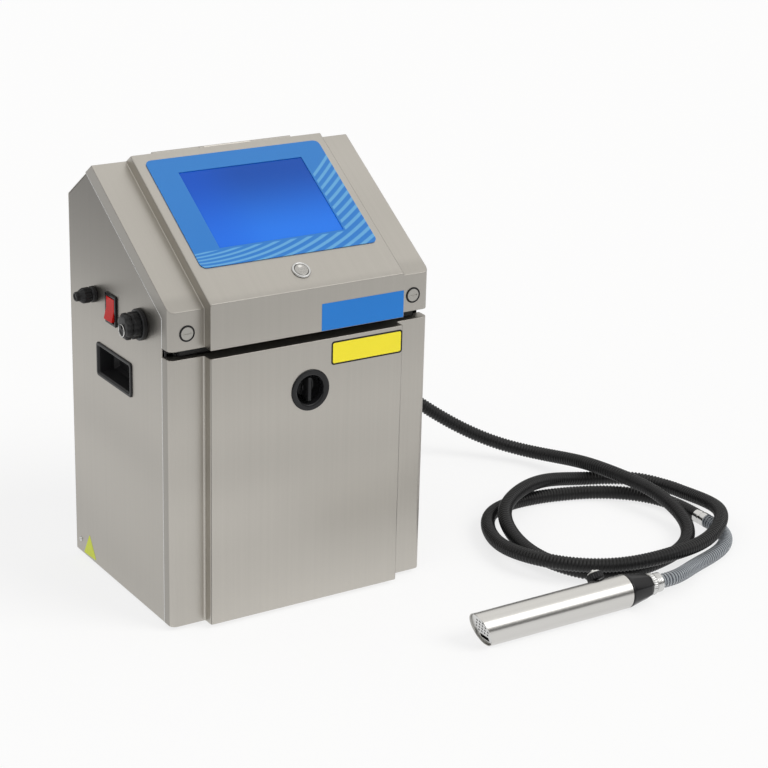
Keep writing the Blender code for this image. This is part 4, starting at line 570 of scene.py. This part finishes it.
def overlay_finish():
    made = Finish("overlay_film", Specular_IOR_Level=0.3)
    x, s = slope_places(made)
    across = x - STRIPE_X
    curve = (s - STRIPE_S) / across - across * STRIPE_CURVE
    ripple = (curve / STRIPE_PITCH).math("FRACT")
    edge = made.smooth(ripple, 0.0, 0.12) * (1 - made.smooth(ripple, 0.42, 0.54))
    below = 1 - made.smooth(curve, STRIPE_TOP - 0.006, STRIPE_TOP)
    low = 1 - made.smooth(s, 0.0795, 0.081)
    beside = made.smooth(x, 0.0905, 0.092)
    near = low.math("MAXIMUM", beside)
    stripes = edge * below * near
    blue = made.mix(made.smooth(s, 0.06, 0.24), (0.028, 0.19, 0.56, 1), (0.035, 0.2, 0.55, 1))
    made.put("Base Color", made.mix(stripes * 0.85, blue, (0.14, 0.4, 0.68, 1)))
    made.put("Roughness", 0.3 + 0.12 * made.noise(30))
    made.raise_by(made.noise(1400), 0.01 * MM, 0.3)
    return made


def screen_finish():
    made = Finish("screen_glass", roughness=0.08, Specular_IOR_Level=0.25)
    x, s = slope_places(made)
    rise = made.smooth(s, 0.085, 0.2)
    left = 1 - made.smooth(x, -0.08, 0.0)
    field = made.mix(rise, (0.012, 0.165, 0.72, 1), (0.001, 0.062, 0.36, 1))
    glow = made.mix(left * 0.4, field, (0.001, 0.085, 0.6, 1))
    made.put("Base Color", glow)
    made.put("Emission Color", glow)
    made.put("Emission Strength", 0.12)
    made.put("Roughness", 0.07 + 0.08 * made.noise(40))
    return made


overlay_film, screen_glass = overlay_finish(), screen_finish()
dress(overlay_film, NODES["front_overlay"])
dress(screen_glass, NODES["touch_glass"])
print("overlay stripes every", STRIPE_PITCH, "of the fan number")

# %% [markdown]
# ## Sheet metal with soft folds
# The frame's panels have sharp edges, but folded sheet always has a small round that catches a thin bright
# line. Each panel is copied, its loose triangles are merged and flat areas are freed of needless edges, and
# a Bevel rounds what is left. Everything stays where the frame puts it. The free edges of the side flanges
# get a thin bright bead, as a folded hem has.

# %% Panels
def softened(name, node, width, body, finish):
    """A merged copy of a node with every edge sharper than 30 degrees rounded by the given width."""
    mesh = bmesh.new()
    mesh.from_mesh(NODES[node].data)
    bmesh.ops.remove_doubles(mesh, verts=mesh.verts, dist=1e-6)
    bmesh.ops.dissolve_limit(mesh, angle_limit=math.radians(0.5), verts=mesh.verts, edges=mesh.edges)
    piece = add_piece(name, body)
    mesh.to_mesh(piece.data)
    mesh.free()
    for face in piece.data.polygons:
        face.use_smooth = True
    bevel = piece.modifiers.new("soft_edges", "BEVEL")
    bevel.width = width
    bevel.segments = 2
    bevel.limit_method = "ANGLE"
    bevel.angle_limit = math.radians(30)
    bevel.use_clamp_overlap = False
    weight = piece.modifiers.new("flat_faces", "WEIGHTED_NORMAL")
    weight.mode = "FACE_AREA"
    weight.weight = 100
    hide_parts(node)
    dress(finish, piece)
    return piece


FOLD = 0.9 * MM
softened("door_shell", "door", FOLD, "door", steel_front)
softened("lid_shell", "lid", FOLD, "lid", steel_front)
softened("left_panel_shell", "left_side_panel", FOLD, "cabinet", steel_side)
softened("right_panel_shell", "right_side_panel", FOLD, "cabinet", steel_side)
softened("rear_panel_shell", "rear_panel", FOLD, "cabinet", steel_front)
dress(zinc, NODES["base_plate"], NODES["partition_shelf"], NODES["front_cross_rail"])
dress(black_plastic, NODES["door_pin_top"], NODES["door_pin_bottom"])
dress(zinc, NODES["latch_cam"])
dress(steel_front, NODES["lid_hinge_leaf_fixed"], NODES["lid_hinge_leaf_moving"])
dress(rubber, NODES["lid_seal"])


HEM_X, HEM_RADIUS = 184.2, 1.1 * MM  # from the middle of the cabinet, in millimetres, and the bead's own
LID_HEM = [(-122.3, 371.4), (-122.3, 409.1), (83.5, 540.4)]
DOOR_HEM = [(-122.3, 6.9), (-122.3, 359.1)]


def hem(name, side, points, body):
    """The folded free edge of a side flange: a thin bright bead through points (y, z) in millimetres."""
    points = np.array(points)
    corners = np.column_stack([np.full(len(points), side * HEM_X), points]) * MM
    path = eased(corners, 4 * MM, 4)
    along = np.concatenate([[0], np.cumsum(np.linalg.norm(np.diff(path, axis=0), axis=1))])
    even = np.linspace(0, along[-1], 150)
    path = np.column_stack([np.interp(even, along, path[:, k]) for k in range(3)])
    dress(bright, tube_along(name, path, HEM_RADIUS, body, 10))


for side, name in ((-1, "left"), (1, "right")):
    hem("lid_hem_" + name, side, LID_HEM, "lid")
    hem("door_hem_" + name, side, DOOR_HEM, "door")
print("five panels softened by", FOLD / MM, "mm")

# %% [markdown]
# ## Turned and lofted fittings on the door and the lid
# The latch is a black cup let into the door: a domed bezel, a deep bowl and a blade to turn with two
# fingers. The start button is a bright ring with a dished cap. Each is a profile turned about its axis,
# and a cup's profile runs from the hidden back, over the rim and down into the bowl, so it is one closed
# skin. The small locks on the lid's wings sit in dark rings.

# %% Latch, button and locks
def fluted(count, depth, low, high):
    """Shallow rounded flutes between two heights: the radius dips by a share of itself count times round."""

    def wave(theta, height):
        inside = (height > low * MM) & (height < high * MM)
        return 1 - depth * inside * (0.5 + 0.5 * np.cos(count * theta)) ** 2

    return wave


def faceted(count, low, high):
    """From low to high the circle becomes a polygon: cos(pi/n) over cos of the angle from a flat's middle."""

    def wave(theta, height):
        share = np.clip((height / MM - low) / (high - low), 0, 1)
        from_flat = np.mod(theta + math.pi / count, 2 * math.pi / count) - math.pi / count
        return 1 + share * (math.cos(math.pi / count) / np.cos(from_flat) - 1)

    return wave


LOCK_HEIGHT = 0.392
lock_metal = plated("metal_lock", (0.44, 0.43, 0.4), 0.34, 120)
LATCH = centre_of("latch_cup")[0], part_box("door")[0].y, centre_of("latch_cup")[2]
latch_cup = turned(
    "latch_bezel",
    in_mm([(20.4, -10), (20.4, 0.3), (27, 0.3), (26.8, 1.4), (25.4, 2), (21, 1.7), (18.9, 0.4), (18.3, -12),
           (14, -17.7), (5.4, -17.7), (5.4, -19.7), (19.4, -19.7)]),
    LATCH, FRONT_SIDE, "door", 72, ease=1.5 * MM, ring=True,
)
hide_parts("latch_cup")
dress(gloss_black, latch_cup)
softened("latch_blade", "latch_knob", 0.8 * MM, "latch", black_plastic)

BUTTON_UP = 30 * MM  # up the slope from the fold
BUTTON = np.array([centre_of("button_cap")[0], *LID_BEND]) + BUTTON_UP * SLOPE
button_metal = machined("metal_button", (0.46, 0.45, 0.43), 0.24, BUTTON, LID_SLOPE)
button_ring = turned(
    "button_bezel",
    in_mm([(10.5, -8), (10.5, 0.3), (12.5, 0.3), (12.5, 1.2), (11.6, 2.5), (10.3, 2.5), (9.3, 1.7),
           (9.3, -8)]),
    BUTTON, LID_SLOPE, "lid", 64, ring=True,
)
button_cap = turned(
    "button_face",
    in_mm([(0.01, 1.2), (4, 1.3), (7.4, 2.4), (8.4, 2.3), (9, 1.6), (9, -11), (0.01, -11)]),
    BUTTON, LID_SLOPE, "start_button", 64,
)
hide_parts("button_ring")
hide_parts("button_cap")
dress(bright, button_ring)
dress(button_metal, button_cap)

for side in ("left", "right"):
    node = "lid_lock_" + side
    low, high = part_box(node)
    middle = ((low.x + high.x) / 2, low.y + 0.8 * MM, LOCK_HEIGHT)
    softened("lock_head_" + side, node, 0.25 * MM, side + "_lock", lock_metal)
    collar = turned(
        "lock_collar_" + side,
        in_mm([(8.6, 0.1), (8.6, 0.7), (9.2, 1.1), (10.2, 0.9), (10.5, 0.1)]),
        middle, FRONT_SIDE, "lid", 48, ease=0.2 * MM, ring=True,
    )
    dress(gloss_black, collar)
print("latch, start button and two locks")

# %% [markdown]
# ## Handles, switch and connectors on the sides
# A recessed pull cup is a loft of rounded rectangles: out of the hidden back, over the rim, and down the
# pocket to its floor. The gland and the capped sensor socket are moulded nylon with rounded flutes for the
# fingers, which a wave in the turning radius gives.

# %% Side fittings
CUP_SECTIONS = in_mm([
    (43, 16, 1.5, -28), (45.3, 18.3, 2.5, -27), (45.5, 18.5, 2.7, 0.3), (50, 23, 5, 0.3), (50, 23, 5, 1.0),
    (49.2, 22.2, 4.4, 2.0), (46.2, 19.2, 3, 2.0), (45, 18, 2.4, 1.0), (44, 17, 1.8, -0.5),
    (43.5, 16.5, 1.2, -20), (39, 12, 1, -26),
])
PANEL_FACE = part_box("right_side_panel")[1].x
for name, axes, sign in (("handle_cup_left", LEFT_SIDE, -1), ("handle_cup_right", RIGHT_SIDE, 1)):
    at = centre_of(name)
    place = (sign * PANEL_FACE, at[1], at[2])
    sections = eased(CUP_SECTIONS, 0.7 * MM)
    cup = lofted(name.replace("cup", "pocket"), sections, place, axes, "cabinet")
    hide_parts(name)
    dress(black_plastic, cup)

softened("switch_frame", "switch_bezel", 0.5 * MM, "cabinet", gloss_black)
softened("switch_key", "switch_rocker", 0.6 * MM, "power_switch", red_plastic)

GLAND = (-PANEL_FACE - 0.3 * MM, *centre_of("cable_gland")[1:])
gland = turned(
    "gland_body",
    in_mm([(0.01, 25.5), (3.6, 25.5), (4.2, 27), (5.4, 27), (6.2, 25.8), (6.4, 21.5), (7.6, 20.4), (10, 16.5),
           (10.2, 8), (9.2, 7), (9, 5.8), (10.5, 5), (10.6, 0.1), (8, 0), (8, -2.1), (11, -2.1), (11, -7),
           (8, -7), (8, -10), (0.01, -10)]),
    GLAND, LEFT_SIDE, "cabinet", 96, fluted(12, 0.1, 7.5, 20),
)
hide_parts("cable_gland")
dress(black_plastic, gland)

SOCKET = (-PANEL_FACE - 0.3 * MM, *centre_of("sensor_socket")[1:])
softened("socket_base", "sensor_socket", 0.5 * MM, "cabinet", black_plastic)
cap = turned(
    "socket_dust_cap",
    in_mm([(0.01, 28), (3.5, 28), (3.5, 27.2), (2, 27.1), (2, 25), (11, 25), (14.6, 24.4), (16.8, 22),
           (17, 17.5), (15.2, 16.4), (15.2, 15), (17, 14), (17, 7.2), (16.4, 6.3), (10.3, 6.3),
           (10.3, 17.3), (0.01, 17.3)]),
    SOCKET, LEFT_SIDE, "dust_cap", 96, fluted(8, 0.12, 7, 24.6),
)
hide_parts("socket_cap")
dress(black_plastic, cap)


def wire_ring(name, centre, across, up, radius, thick, body):
    """A torus: a small circle carried round a large one."""
    turn = np.linspace(0, 2 * math.pi, 64, endpoint=False)[:, None, None]
    small = np.linspace(0, 2 * math.pi, 12, endpoint=False)[None, :, None]
    outward = np.cos(turn) * across + np.sin(turn) * up
    rings = centre + (radius + thick * np.cos(small)) * outward + thick * np.sin(small) * np.cross(across, up)
    return skin(name, rings, body, loop=True)


RING = centre_of("cap_lanyard")
ring = wire_ring("cap_wire_ring", RING, BACKWARD, UP, 7.5 * MM, 0.7 * MM, "dust_cap")
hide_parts("cap_lanyard")
dress(bright, ring)

hose_exit = hose_path[0]
collar_grooves = [
    point
    for k in range(6)
    for point in ((13 - 0.32 * k, 16 + 5 * k), (13 - 0.32 * k, 18.6 + 5 * k), (11.6 - 0.22 * k, 19.2 + 5 * k),
                  (11.6 - 0.22 * k, 20.6 + 5 * k))
]
rear_gland = turned(
    "hose_relief",
    in_mm([(8, 20), (8, -9.1), (18, -9.1), (18, -2.1), (14, -2.1), (14, 0), (16, 0), (16, 10), (13.4, 11.4),
           *collar_grooves, (11, 47.2), (8, 47.2)]),
    (hose_exit[0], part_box("rear_panel")[1].y + 0.3 * MM, hose_exit[2]),
    REAR_SIDE, "cabinet", 72, ease=0.4 * MM, ring=True,
)
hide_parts("hose_gland")
dress(black_plastic, rear_gland)
print("two handle cups, a switch, a gland, a capped socket and the hose's relief")

# %% [markdown]
# ## The print head
# The head is a polished stainless tube with a slanted, perforated end, a faceted black boss, a bright
# collar that grips the clear hose, and a captive thumbscrew with a domed cap. The tube's left rings are
# slid along the axis by their height times the tangent of the slant, which cuts the end at an angle.

# %% Print head
HEAD_AXES = (BACKWARD, UP, RIGHT)
HEAD_LOW, HEAD_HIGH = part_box("head_cover")
HEAD_RADIUS = (HEAD_HIGH.z - HEAD_LOW.z) / 2
HEAD_AXIS = np.array([0, (HEAD_LOW.y + HEAD_HIGH.y) / 2, HEAD_RADIUS])
SLANT = math.tan(math.radians(20))
END_MIDDLE = HEAD_LOW.x + HEAD_RADIUS * SLANT


def head_tube():
    """Rings of (radius, place, slanted): the outer wall from the slanted end back, then the inner one."""
    sides = 96
    theta = np.linspace(0, 2 * math.pi, sides, endpoint=False)
    right = HEAD_HIGH.x
    rows = [(22.1, 0.05, 1), (22.5, 0.5, 1), (22.5, -0.5, 0), (22.1, 0, 0), (21.5, 0, 0), (21.5, 0.4, 1)]
    rings = []
    for radius, place, slanted in rows:
        y, z = radius * MM * np.cos(theta), radius * MM * np.sin(theta)
        start = END_MIDDLE - z * SLANT if slanted else np.full(sides, right)
        rings.append(np.stack([y, z, start + place * MM], -1))
    rings = placed(np.array(rings), HEAD_AXIS, HEAD_AXES)
    tube = skin("head_tube", rings, "print_head_cover", loop=True)
    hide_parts("head_cover")
    dress(head_steel, tube)


head_tube()
dress(bright, NODES["head_end_plate"])
boss = turned(
    "head_boss_shell",
    in_mm([(0.01, -12), (21.2, -12), (21.2, 0.3), (22.4, 0.5), (22.4, 3), (21.8, 6), (17.4, 35), (15.4, 39),
           (0.01, 39)]),
    (HEAD_HIGH.x, HEAD_AXIS[1], HEAD_AXIS[2]), HEAD_AXES, "cabinet",
    96, faceted(8, 8, 22), 1.2 * MM,
)
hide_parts("head_boss")
dress(gloss_black, boss)
nut_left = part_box("head_nut")[0].x
nut = turned(
    "hose_collar",
    in_mm([(0.01, 0), (14, 0), (14.8, 0.8), (14.8, 6.4), (14, 7.2), (12, 7.6), (12, 9), (13, 9.6), (13, 11),
           (12.4, 11.6), (13, 12.2), (13, 13.6), (12.4, 14.2), (13, 14.8), (13, 18.3), (0.01, 18.3)]),
    (nut_left, HEAD_AXIS[1], HEAD_AXIS[2]), HEAD_AXES, "cabinet",
    96, fluted(24, 0.05, 1, 6.2), 0.3 * MM,
)
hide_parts("head_nut")
dress(bright, nut)

SCREW_OUT = np.array([0, 1, 1]) / math.sqrt(2)
SCREW_AXES = (RIGHT, np.cross(SCREW_OUT, RIGHT), SCREW_OUT)
SCREW = np.array([centre_of("head_thumbscrew")[0], HEAD_AXIS[1], HEAD_AXIS[2]])
screw = turned(
    "thumbscrew_knob",
    in_mm([(0.01, 33), (9, 33), (11, 31.6), (11.5, 30.5), (11.5, 25), (10.6, 23.8), (3, 23.5), (3, 15.4),
           (0.01, 15.4)]),
    SCREW, SCREW_AXES, "cover_thumbscrew", 120, fluted(20, 0.08, 24.4, 31.2), 0.4 * MM,
)
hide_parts("head_thumbscrew")
dress(black_plastic, screw)
dome = [(8.6 * math.cos(a), 33.05 + 3.4 * math.sin(a)) for a in np.linspace(0, 1.25, 7)]
screw_dome = turned(
    "thumbscrew_dome",
    in_mm([(0.01, 33.05), *dome, (2.2, 36.5), (1.9, 37.6), (0.01, 37.9)]),
    SCREW, SCREW_AXES, "cover_thumbscrew", 48, ease=0.3 * MM,
)
dress(satin, screw_dome)
print("head tube", round((HEAD_HIGH.x - HEAD_LOW.x) / MM), "mm long with its boss, collar and thumbscrew")

# %% [markdown]
# ## Stickers and screws
# The machine carries a blue label on the lid, a yellow one with a dark rim on the door and a small yellow
# triangle low on its left side. They are left bare: thin plates with round corners, a hair off the steel.

# %% Stickers
label_blue = moulded("label_blue", (0.012, 0.18, 0.58), 0.3, 700, 0.01, 0.04)
label_yellow = moulded("label_yellow", (0.86, 0.74, 0.03), 0.34, 700, 0.01, 0.04)
label_lime = moulded("label_lime", (0.7, 0.78, 0.04), 0.36, 700, 0.01, 0.04)
label_rim = moulded("label_rim", (0.008, 0.008, 0.008), 0.34, 700, 0.01, 0.04)
CENTRE_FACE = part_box("door")[0].y


def sticker(name, left, low, right, high, corner, lift, body, finish):
    """A thin plate on the front face, from its edges in millimetres."""
    half_wide, half_high = (right - left) / 2, (high - low) / 2
    sections = in_mm([(half_wide, half_high, corner, lift), (half_wide, half_high, corner, lift + 0.12)])
    place = ((left + right) / 2 * MM, CENTRE_FACE, (low + high) / 2 * MM)
    dress(finish, lofted(name, sections, place, FRONT_SIDE, body))


sticker("lid_label_blue", 17, 371.3, 136.6, 406.5, 0.8, 0.05, "lid", label_blue)
sticker("door_label_rim", 31.7, 324, 136.2, 355, 4, 0.05, "door", label_rim)
sticker("door_label_yellow", 33.9, 326.2, 134, 352.8, 2.4, 0.18, "door", label_yellow)

corners = np.array([(100.7, 38.9), (81.2, 8.5), (119.1, 6.3)]) * MM
middles = (corners + np.roll(corners, -1, 0)) / 2
loop = np.stack([corners, middles], 1).reshape(-1, 2)
outline = eased(np.concatenate([middles[-1:], loop]), 3 * MM, 4)[:-1]
triangle_rings = [
    np.column_stack([np.full(len(outline), -PANEL_FACE - lift * MM), outline]) for lift in (0.05, 0.17)
]
dress(label_lime, skin("side_label_triangle", triangle_rings, "cabinet"))

for name, axes, sign in (("left", LEFT_SIDE, -1), ("right", RIGHT_SIDE, 1)):
    head = turned(
        "panel_screw_" + name,
        in_mm([(0.01, 1.5), (0.9, 1.5), (1.0, 0.9), (1.5, 0.9), (1.7, 1.6), (2.6, 1.4), (3.4, 0.5),
               (3.5, 0.05), (0.01, 0.05)]),
        (sign * PANEL_FACE, 0.128, 0.022), axes, "cabinet", 32, ease=0.15 * MM,
    )
    dress(bright, head)
print("three bare labels and two screws")

# %% [markdown]
# ## What shows when the door and the lid open
# Inside are two bottles with ribbed caps, a pump with its motor, a filter, a valve block, and above the
# shelf the power supply, the control board and a fan. The bottles get their soft moulded edges from a
# Bevel, and the board's colours follow height: green laminate below, dark chips and bright cans above.

# %% Inside
def board_finish():
    """Green laminate with a grid of copper tracks; what stands higher than the laminate is dark."""
    made = Finish("board_green", roughness=0.4)
    x, y, z = made.split(made.place)
    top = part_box("control_board")[0].z + 10.0 * MM
    parts = made.smooth(z, top, top + 0.2 * MM)
    lines = [made.smooth((way * 260).math("PINGPONG", 0.5), 0.34, 0.38) for way in (x + y, x - y)]
    tracks = lines[0] * lines[1] * made.smooth(made.noise(60), 0.45, 0.5)
    laminate = made.mix(tracks, (0.012, 0.13, 0.05, 1), (0.03, 0.26, 0.1, 1))
    cans = made.smooth(made.noise(25, detail=0), 0.5, 0.52)
    chip = made.mix(cans, (0.02, 0.02, 0.022, 1), (0.5, 0.5, 0.46, 1))
    made.put("Base Color", made.mix(parts, laminate, chip))
    made.put("Roughness", 0.32 + 0.2 * made.noise(80))
    made.raise_by(tracks, 0.05 * MM)
    return made


VENT_PITCH = 8 * MM
INK_LEVEL = 142 * MM


def supply_finish():
    """Zinc-plated cover with rows of round vent holes, each painted near black: painted shade for the depth
    inside it.
    """
    made = Finish("supply_cover", metallic=1.0)
    x, y, _ = made.split(made.place)
    cells = [(way / VENT_PITCH).math("FRACT") - 0.5 for way in (x, y)]
    hole = 1 - made.smooth(cells[0] * cells[0] + cells[1] * cells[1], 0.07, 0.085)
    low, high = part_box("power_supply")
    soft = 2 * MM
    for way, start, end in ((x, low.x + 20 * MM, high.x - 12 * MM), (y, low.y + 6 * MM, high.y - 6 * MM)):
        hole = hole * made.smooth(way, start, start + soft) * (1 - made.smooth(way, end - soft, end))
    # Painted shade: each hole is near black where its depth lies in shade, and the bump below sinks it.
    made.put("Base Color", made.mix(hole, (0.52, 0.53, 0.52, 1), (0.01, 0.01, 0.01, 1)))
    made.put("Roughness", 0.3 + 0.12 * made.noise(40))
    made.raise_by(1 - hole, 0.6 * MM)
    return made


def ink_bottle_finish():
    """A milky bottle that is dark up to the ink's level and lets a band of wall show above it."""
    made = Finish("bottle_ink", Coat_Weight=0.2)
    _, _, z = made.split(made.place)
    level = made.smooth(z + MM * made.noise(40), INK_LEVEL, INK_LEVEL + 4 * MM)
    made.put("Base Color", made.mix(level, (0.014, 0.016, 0.03, 1), (0.42, 0.43, 0.44, 1)))
    made.put("Roughness", 0.34 + 0.1 * made.noise(50))
    made.raise_by(made.noise(90), 0.1 * MM, 0.3)
    return made


def valve_finish():
    """A cast block whose coils, in front of it, are dark plastic."""
    made = Finish("valve_block")
    _, y, _ = made.split(made.place)
    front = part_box("valve_manifold")[1].y - 35 * MM
    coil = 1 - made.smooth(y, front - 0.2 * MM, front)
    made.put("Base Color", made.mix(coil, (0.6, 0.6, 0.59, 1), (0.02, 0.02, 0.022, 1)))
    made.put("Metallic", 1 - coil)
    made.put("Roughness", 0.3 + 0.14 * made.noise(60))
    made.raise_by(made.noise(500), 0.02 * MM, 0.4)
    return made


BOTTLE_EDGE = 1.2 * MM
softened("bottle_ink", "ink_tank", BOTTLE_EDGE, "cabinet", ink_bottle_finish())
softened("bottle_solvent", "solvent_tank", BOTTLE_EDGE, "cabinet", milky)
for name, body, slot, finish in (
    ("ink_tank_cap", "ink_cap", "blue_plastic", blue_plastic),
    ("solvent_tank_cap", "solvent_cap", "red_plastic", red_plastic),
):
    low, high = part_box(name)
    bottle_cap = turned(
        name.replace("tank_cap", "screw_cap"),
        in_mm([(0.01, 18.3), (14, 18.3), (14.8, 17.7), (19.6, 17.7), (21.6, 16.6), (22, 15), (22, 1.2),
               (21.4, 0.4), (17.3, 0.4), (17.3, 15.4), (0.01, 15.4)]),
        ((low.x + high.x) / 2, (low.y + high.y) / 2, low.z - 0.4 * MM), (RIGHT, BACKWARD, UP), body,
        144, fluted(36, 0.04, 2, 16), 0.3 * MM,
    )
    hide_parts(name)
    dress(finish, bottle_cap)

dress(board_finish(), NODES["control_board"])
dress(supply_finish(), NODES["power_supply"])
dress(valve_finish(), NODES["valve_manifold"])
softened("pump_block", "ink_pump", 0.6 * MM, "cabinet", cast)
softened("motor_can", "pump_motor", 0.5 * MM, "cabinet", zinc)
softened("filter_capsule", "ink_filter", 0.6 * MM, "cabinet", white_plastic)
softened("fan_housing", "fan_frame", 0.6 * MM, "cabinet", black_plastic)
softened("fan_wheel_blades", "fan_rotor", 0.3 * MM, "fan_wheel", black_plastic)
softened("display_case", "display_module", 0.4 * MM, "lid", black_plastic)
dress(zinc, NODES["lid_hinge_pin"])
dress(bright, NODES["head_chassis"], NODES["nozzle_block"], NODES["gutter_block"])
dress(bright, NODES["deflector_plate_upper"], NODES["deflector_plate_lower"])
dress(brass, NODES["charge_electrode"])
dress(hose_skin, hose)
dress(hose_window, clear)
dress(hose_core_skin, core)
dress(bright, ferrule)

# %% [markdown]
# ## World, floor and lamps
# A plain pale studio: a large floor, a sky that lights softly and shows white to the camera and in
# reflections, one broad key lamp from the front right and a weaker one from the left. Metal would mirror
# those two as glare, so a third, faint lamp beside the key gives it its only highlight. For reflections the
# sky has a darker belt just above the horizon, as a studio's far walls give, so polished tubes get the dark
# line that tells the eye they are metal.

# %% Studio
AMBIENT = 0.52
FLOOR_LIFT = 0.75  # share of plain white in what the camera sees of the floor; the rest keeps the shadow


def make_world():
    world = bpy.data.worlds.new("studio")
    world.use_nodes = True
    bpy.context.scene.world = world
    made = Nodes(world.node_tree)
    world.node_tree.nodes.clear()
    _, _, rise = made.split(made.node("ShaderNodeTexCoord"))
    belt = made.smooth(rise, 0.0, 0.04) * (1 - made.smooth(rise, 0.16, 0.5))
    rays = [made.node("ShaderNodeLightPath", output=k) for k in (0, 3, 6)]
    shown = made.node("ShaderNodeBackground", {}, {0: (1, 1, 1, 1), 1: 1.0})
    mirrored = made.node("ShaderNodeBackground", {}, {0: (1, 0.99, 0.97, 1), 1: 1 - 0.88 * belt})
    ambient = made.node("ShaderNodeBackground", {}, {0: (1, 1, 1, 1), 1: AMBIENT})
    seen = rays[0] + rays[2]
    other = made.node("ShaderNodeMixShader", {}, {0: rays[1], 1: ambient, 2: mirrored})
    whole = made.node("ShaderNodeMixShader", {}, {0: seen, 1: other, 2: shown})
    made.feed(made.tree.nodes.new("ShaderNodeOutputWorld").inputs[0], whole)


def make_floor():
    """One wide sheet under the feet, far larger than any view of it."""
    half = 40.0
    mesh = bpy.data.meshes.new("floor")
    corners = [(-half, -half, 0), (half, -half, 0), (half, half, 0), (-half, half, 0)]
    mesh.from_pydata(corners, [], [(0, 1, 2, 3)])
    floor = bpy.data.objects.new("floor", mesh)
    bpy.context.scene.collection.objects.link(floor)
    pale = Finish("floor_pale", roughness=1.0)
    pale.put("Specular IOR Level", 0.0)
    pale.paint((0.98, 0.98, 0.978))
    glow = pale.node("ShaderNodeEmission", {}, {0: (1, 1, 1, 1), 1: 1.0})
    camera, glossy, through = (pale.node("ShaderNodeLightPath", output=k) for k in (0, 3, 6))
    seen = (camera + glossy + through) * FLOOR_LIFT
    whole = pale.node("ShaderNodeMixShader", {}, {0: seen, 1: Socket(pale, pale.shader.outputs[0]), 2: glow})
    pale.feed(pale.tree.nodes["Material Output"].inputs[0], whole)
    dress(pale, floor)


def add_sun(name, towards, strength, width, colour=(1, 1, 1), glints=False):
    data = bpy.data.lights.new(name, "SUN")
    data.energy = strength
    data.angle = math.radians(width)
    data.color = colour
    lamp = bpy.data.objects.new(name, data)
    lamp.matrix_world = Vector(towards).to_track_quat("Z", "Y").to_matrix().to_4x4()
    lamp.visible_glossy = glints
    lamp.visible_diffuse = not glints
    bpy.context.scene.collection.objects.link(lamp)


make_world()
make_floor()
add_sun("key", (0.5, -0.62, 0.72), 1.35, 34, (1, 0.985, 0.96))
add_sun("fill", (-0.75, -0.35, 0.75), 0.55, 60)
add_sun("glint", (0.5, -0.62, 0.72), 0.42, 36, glints=True)
bpy.context.scene.view_settings.view_transform = "Standard"
print("world, floor and three lamps")
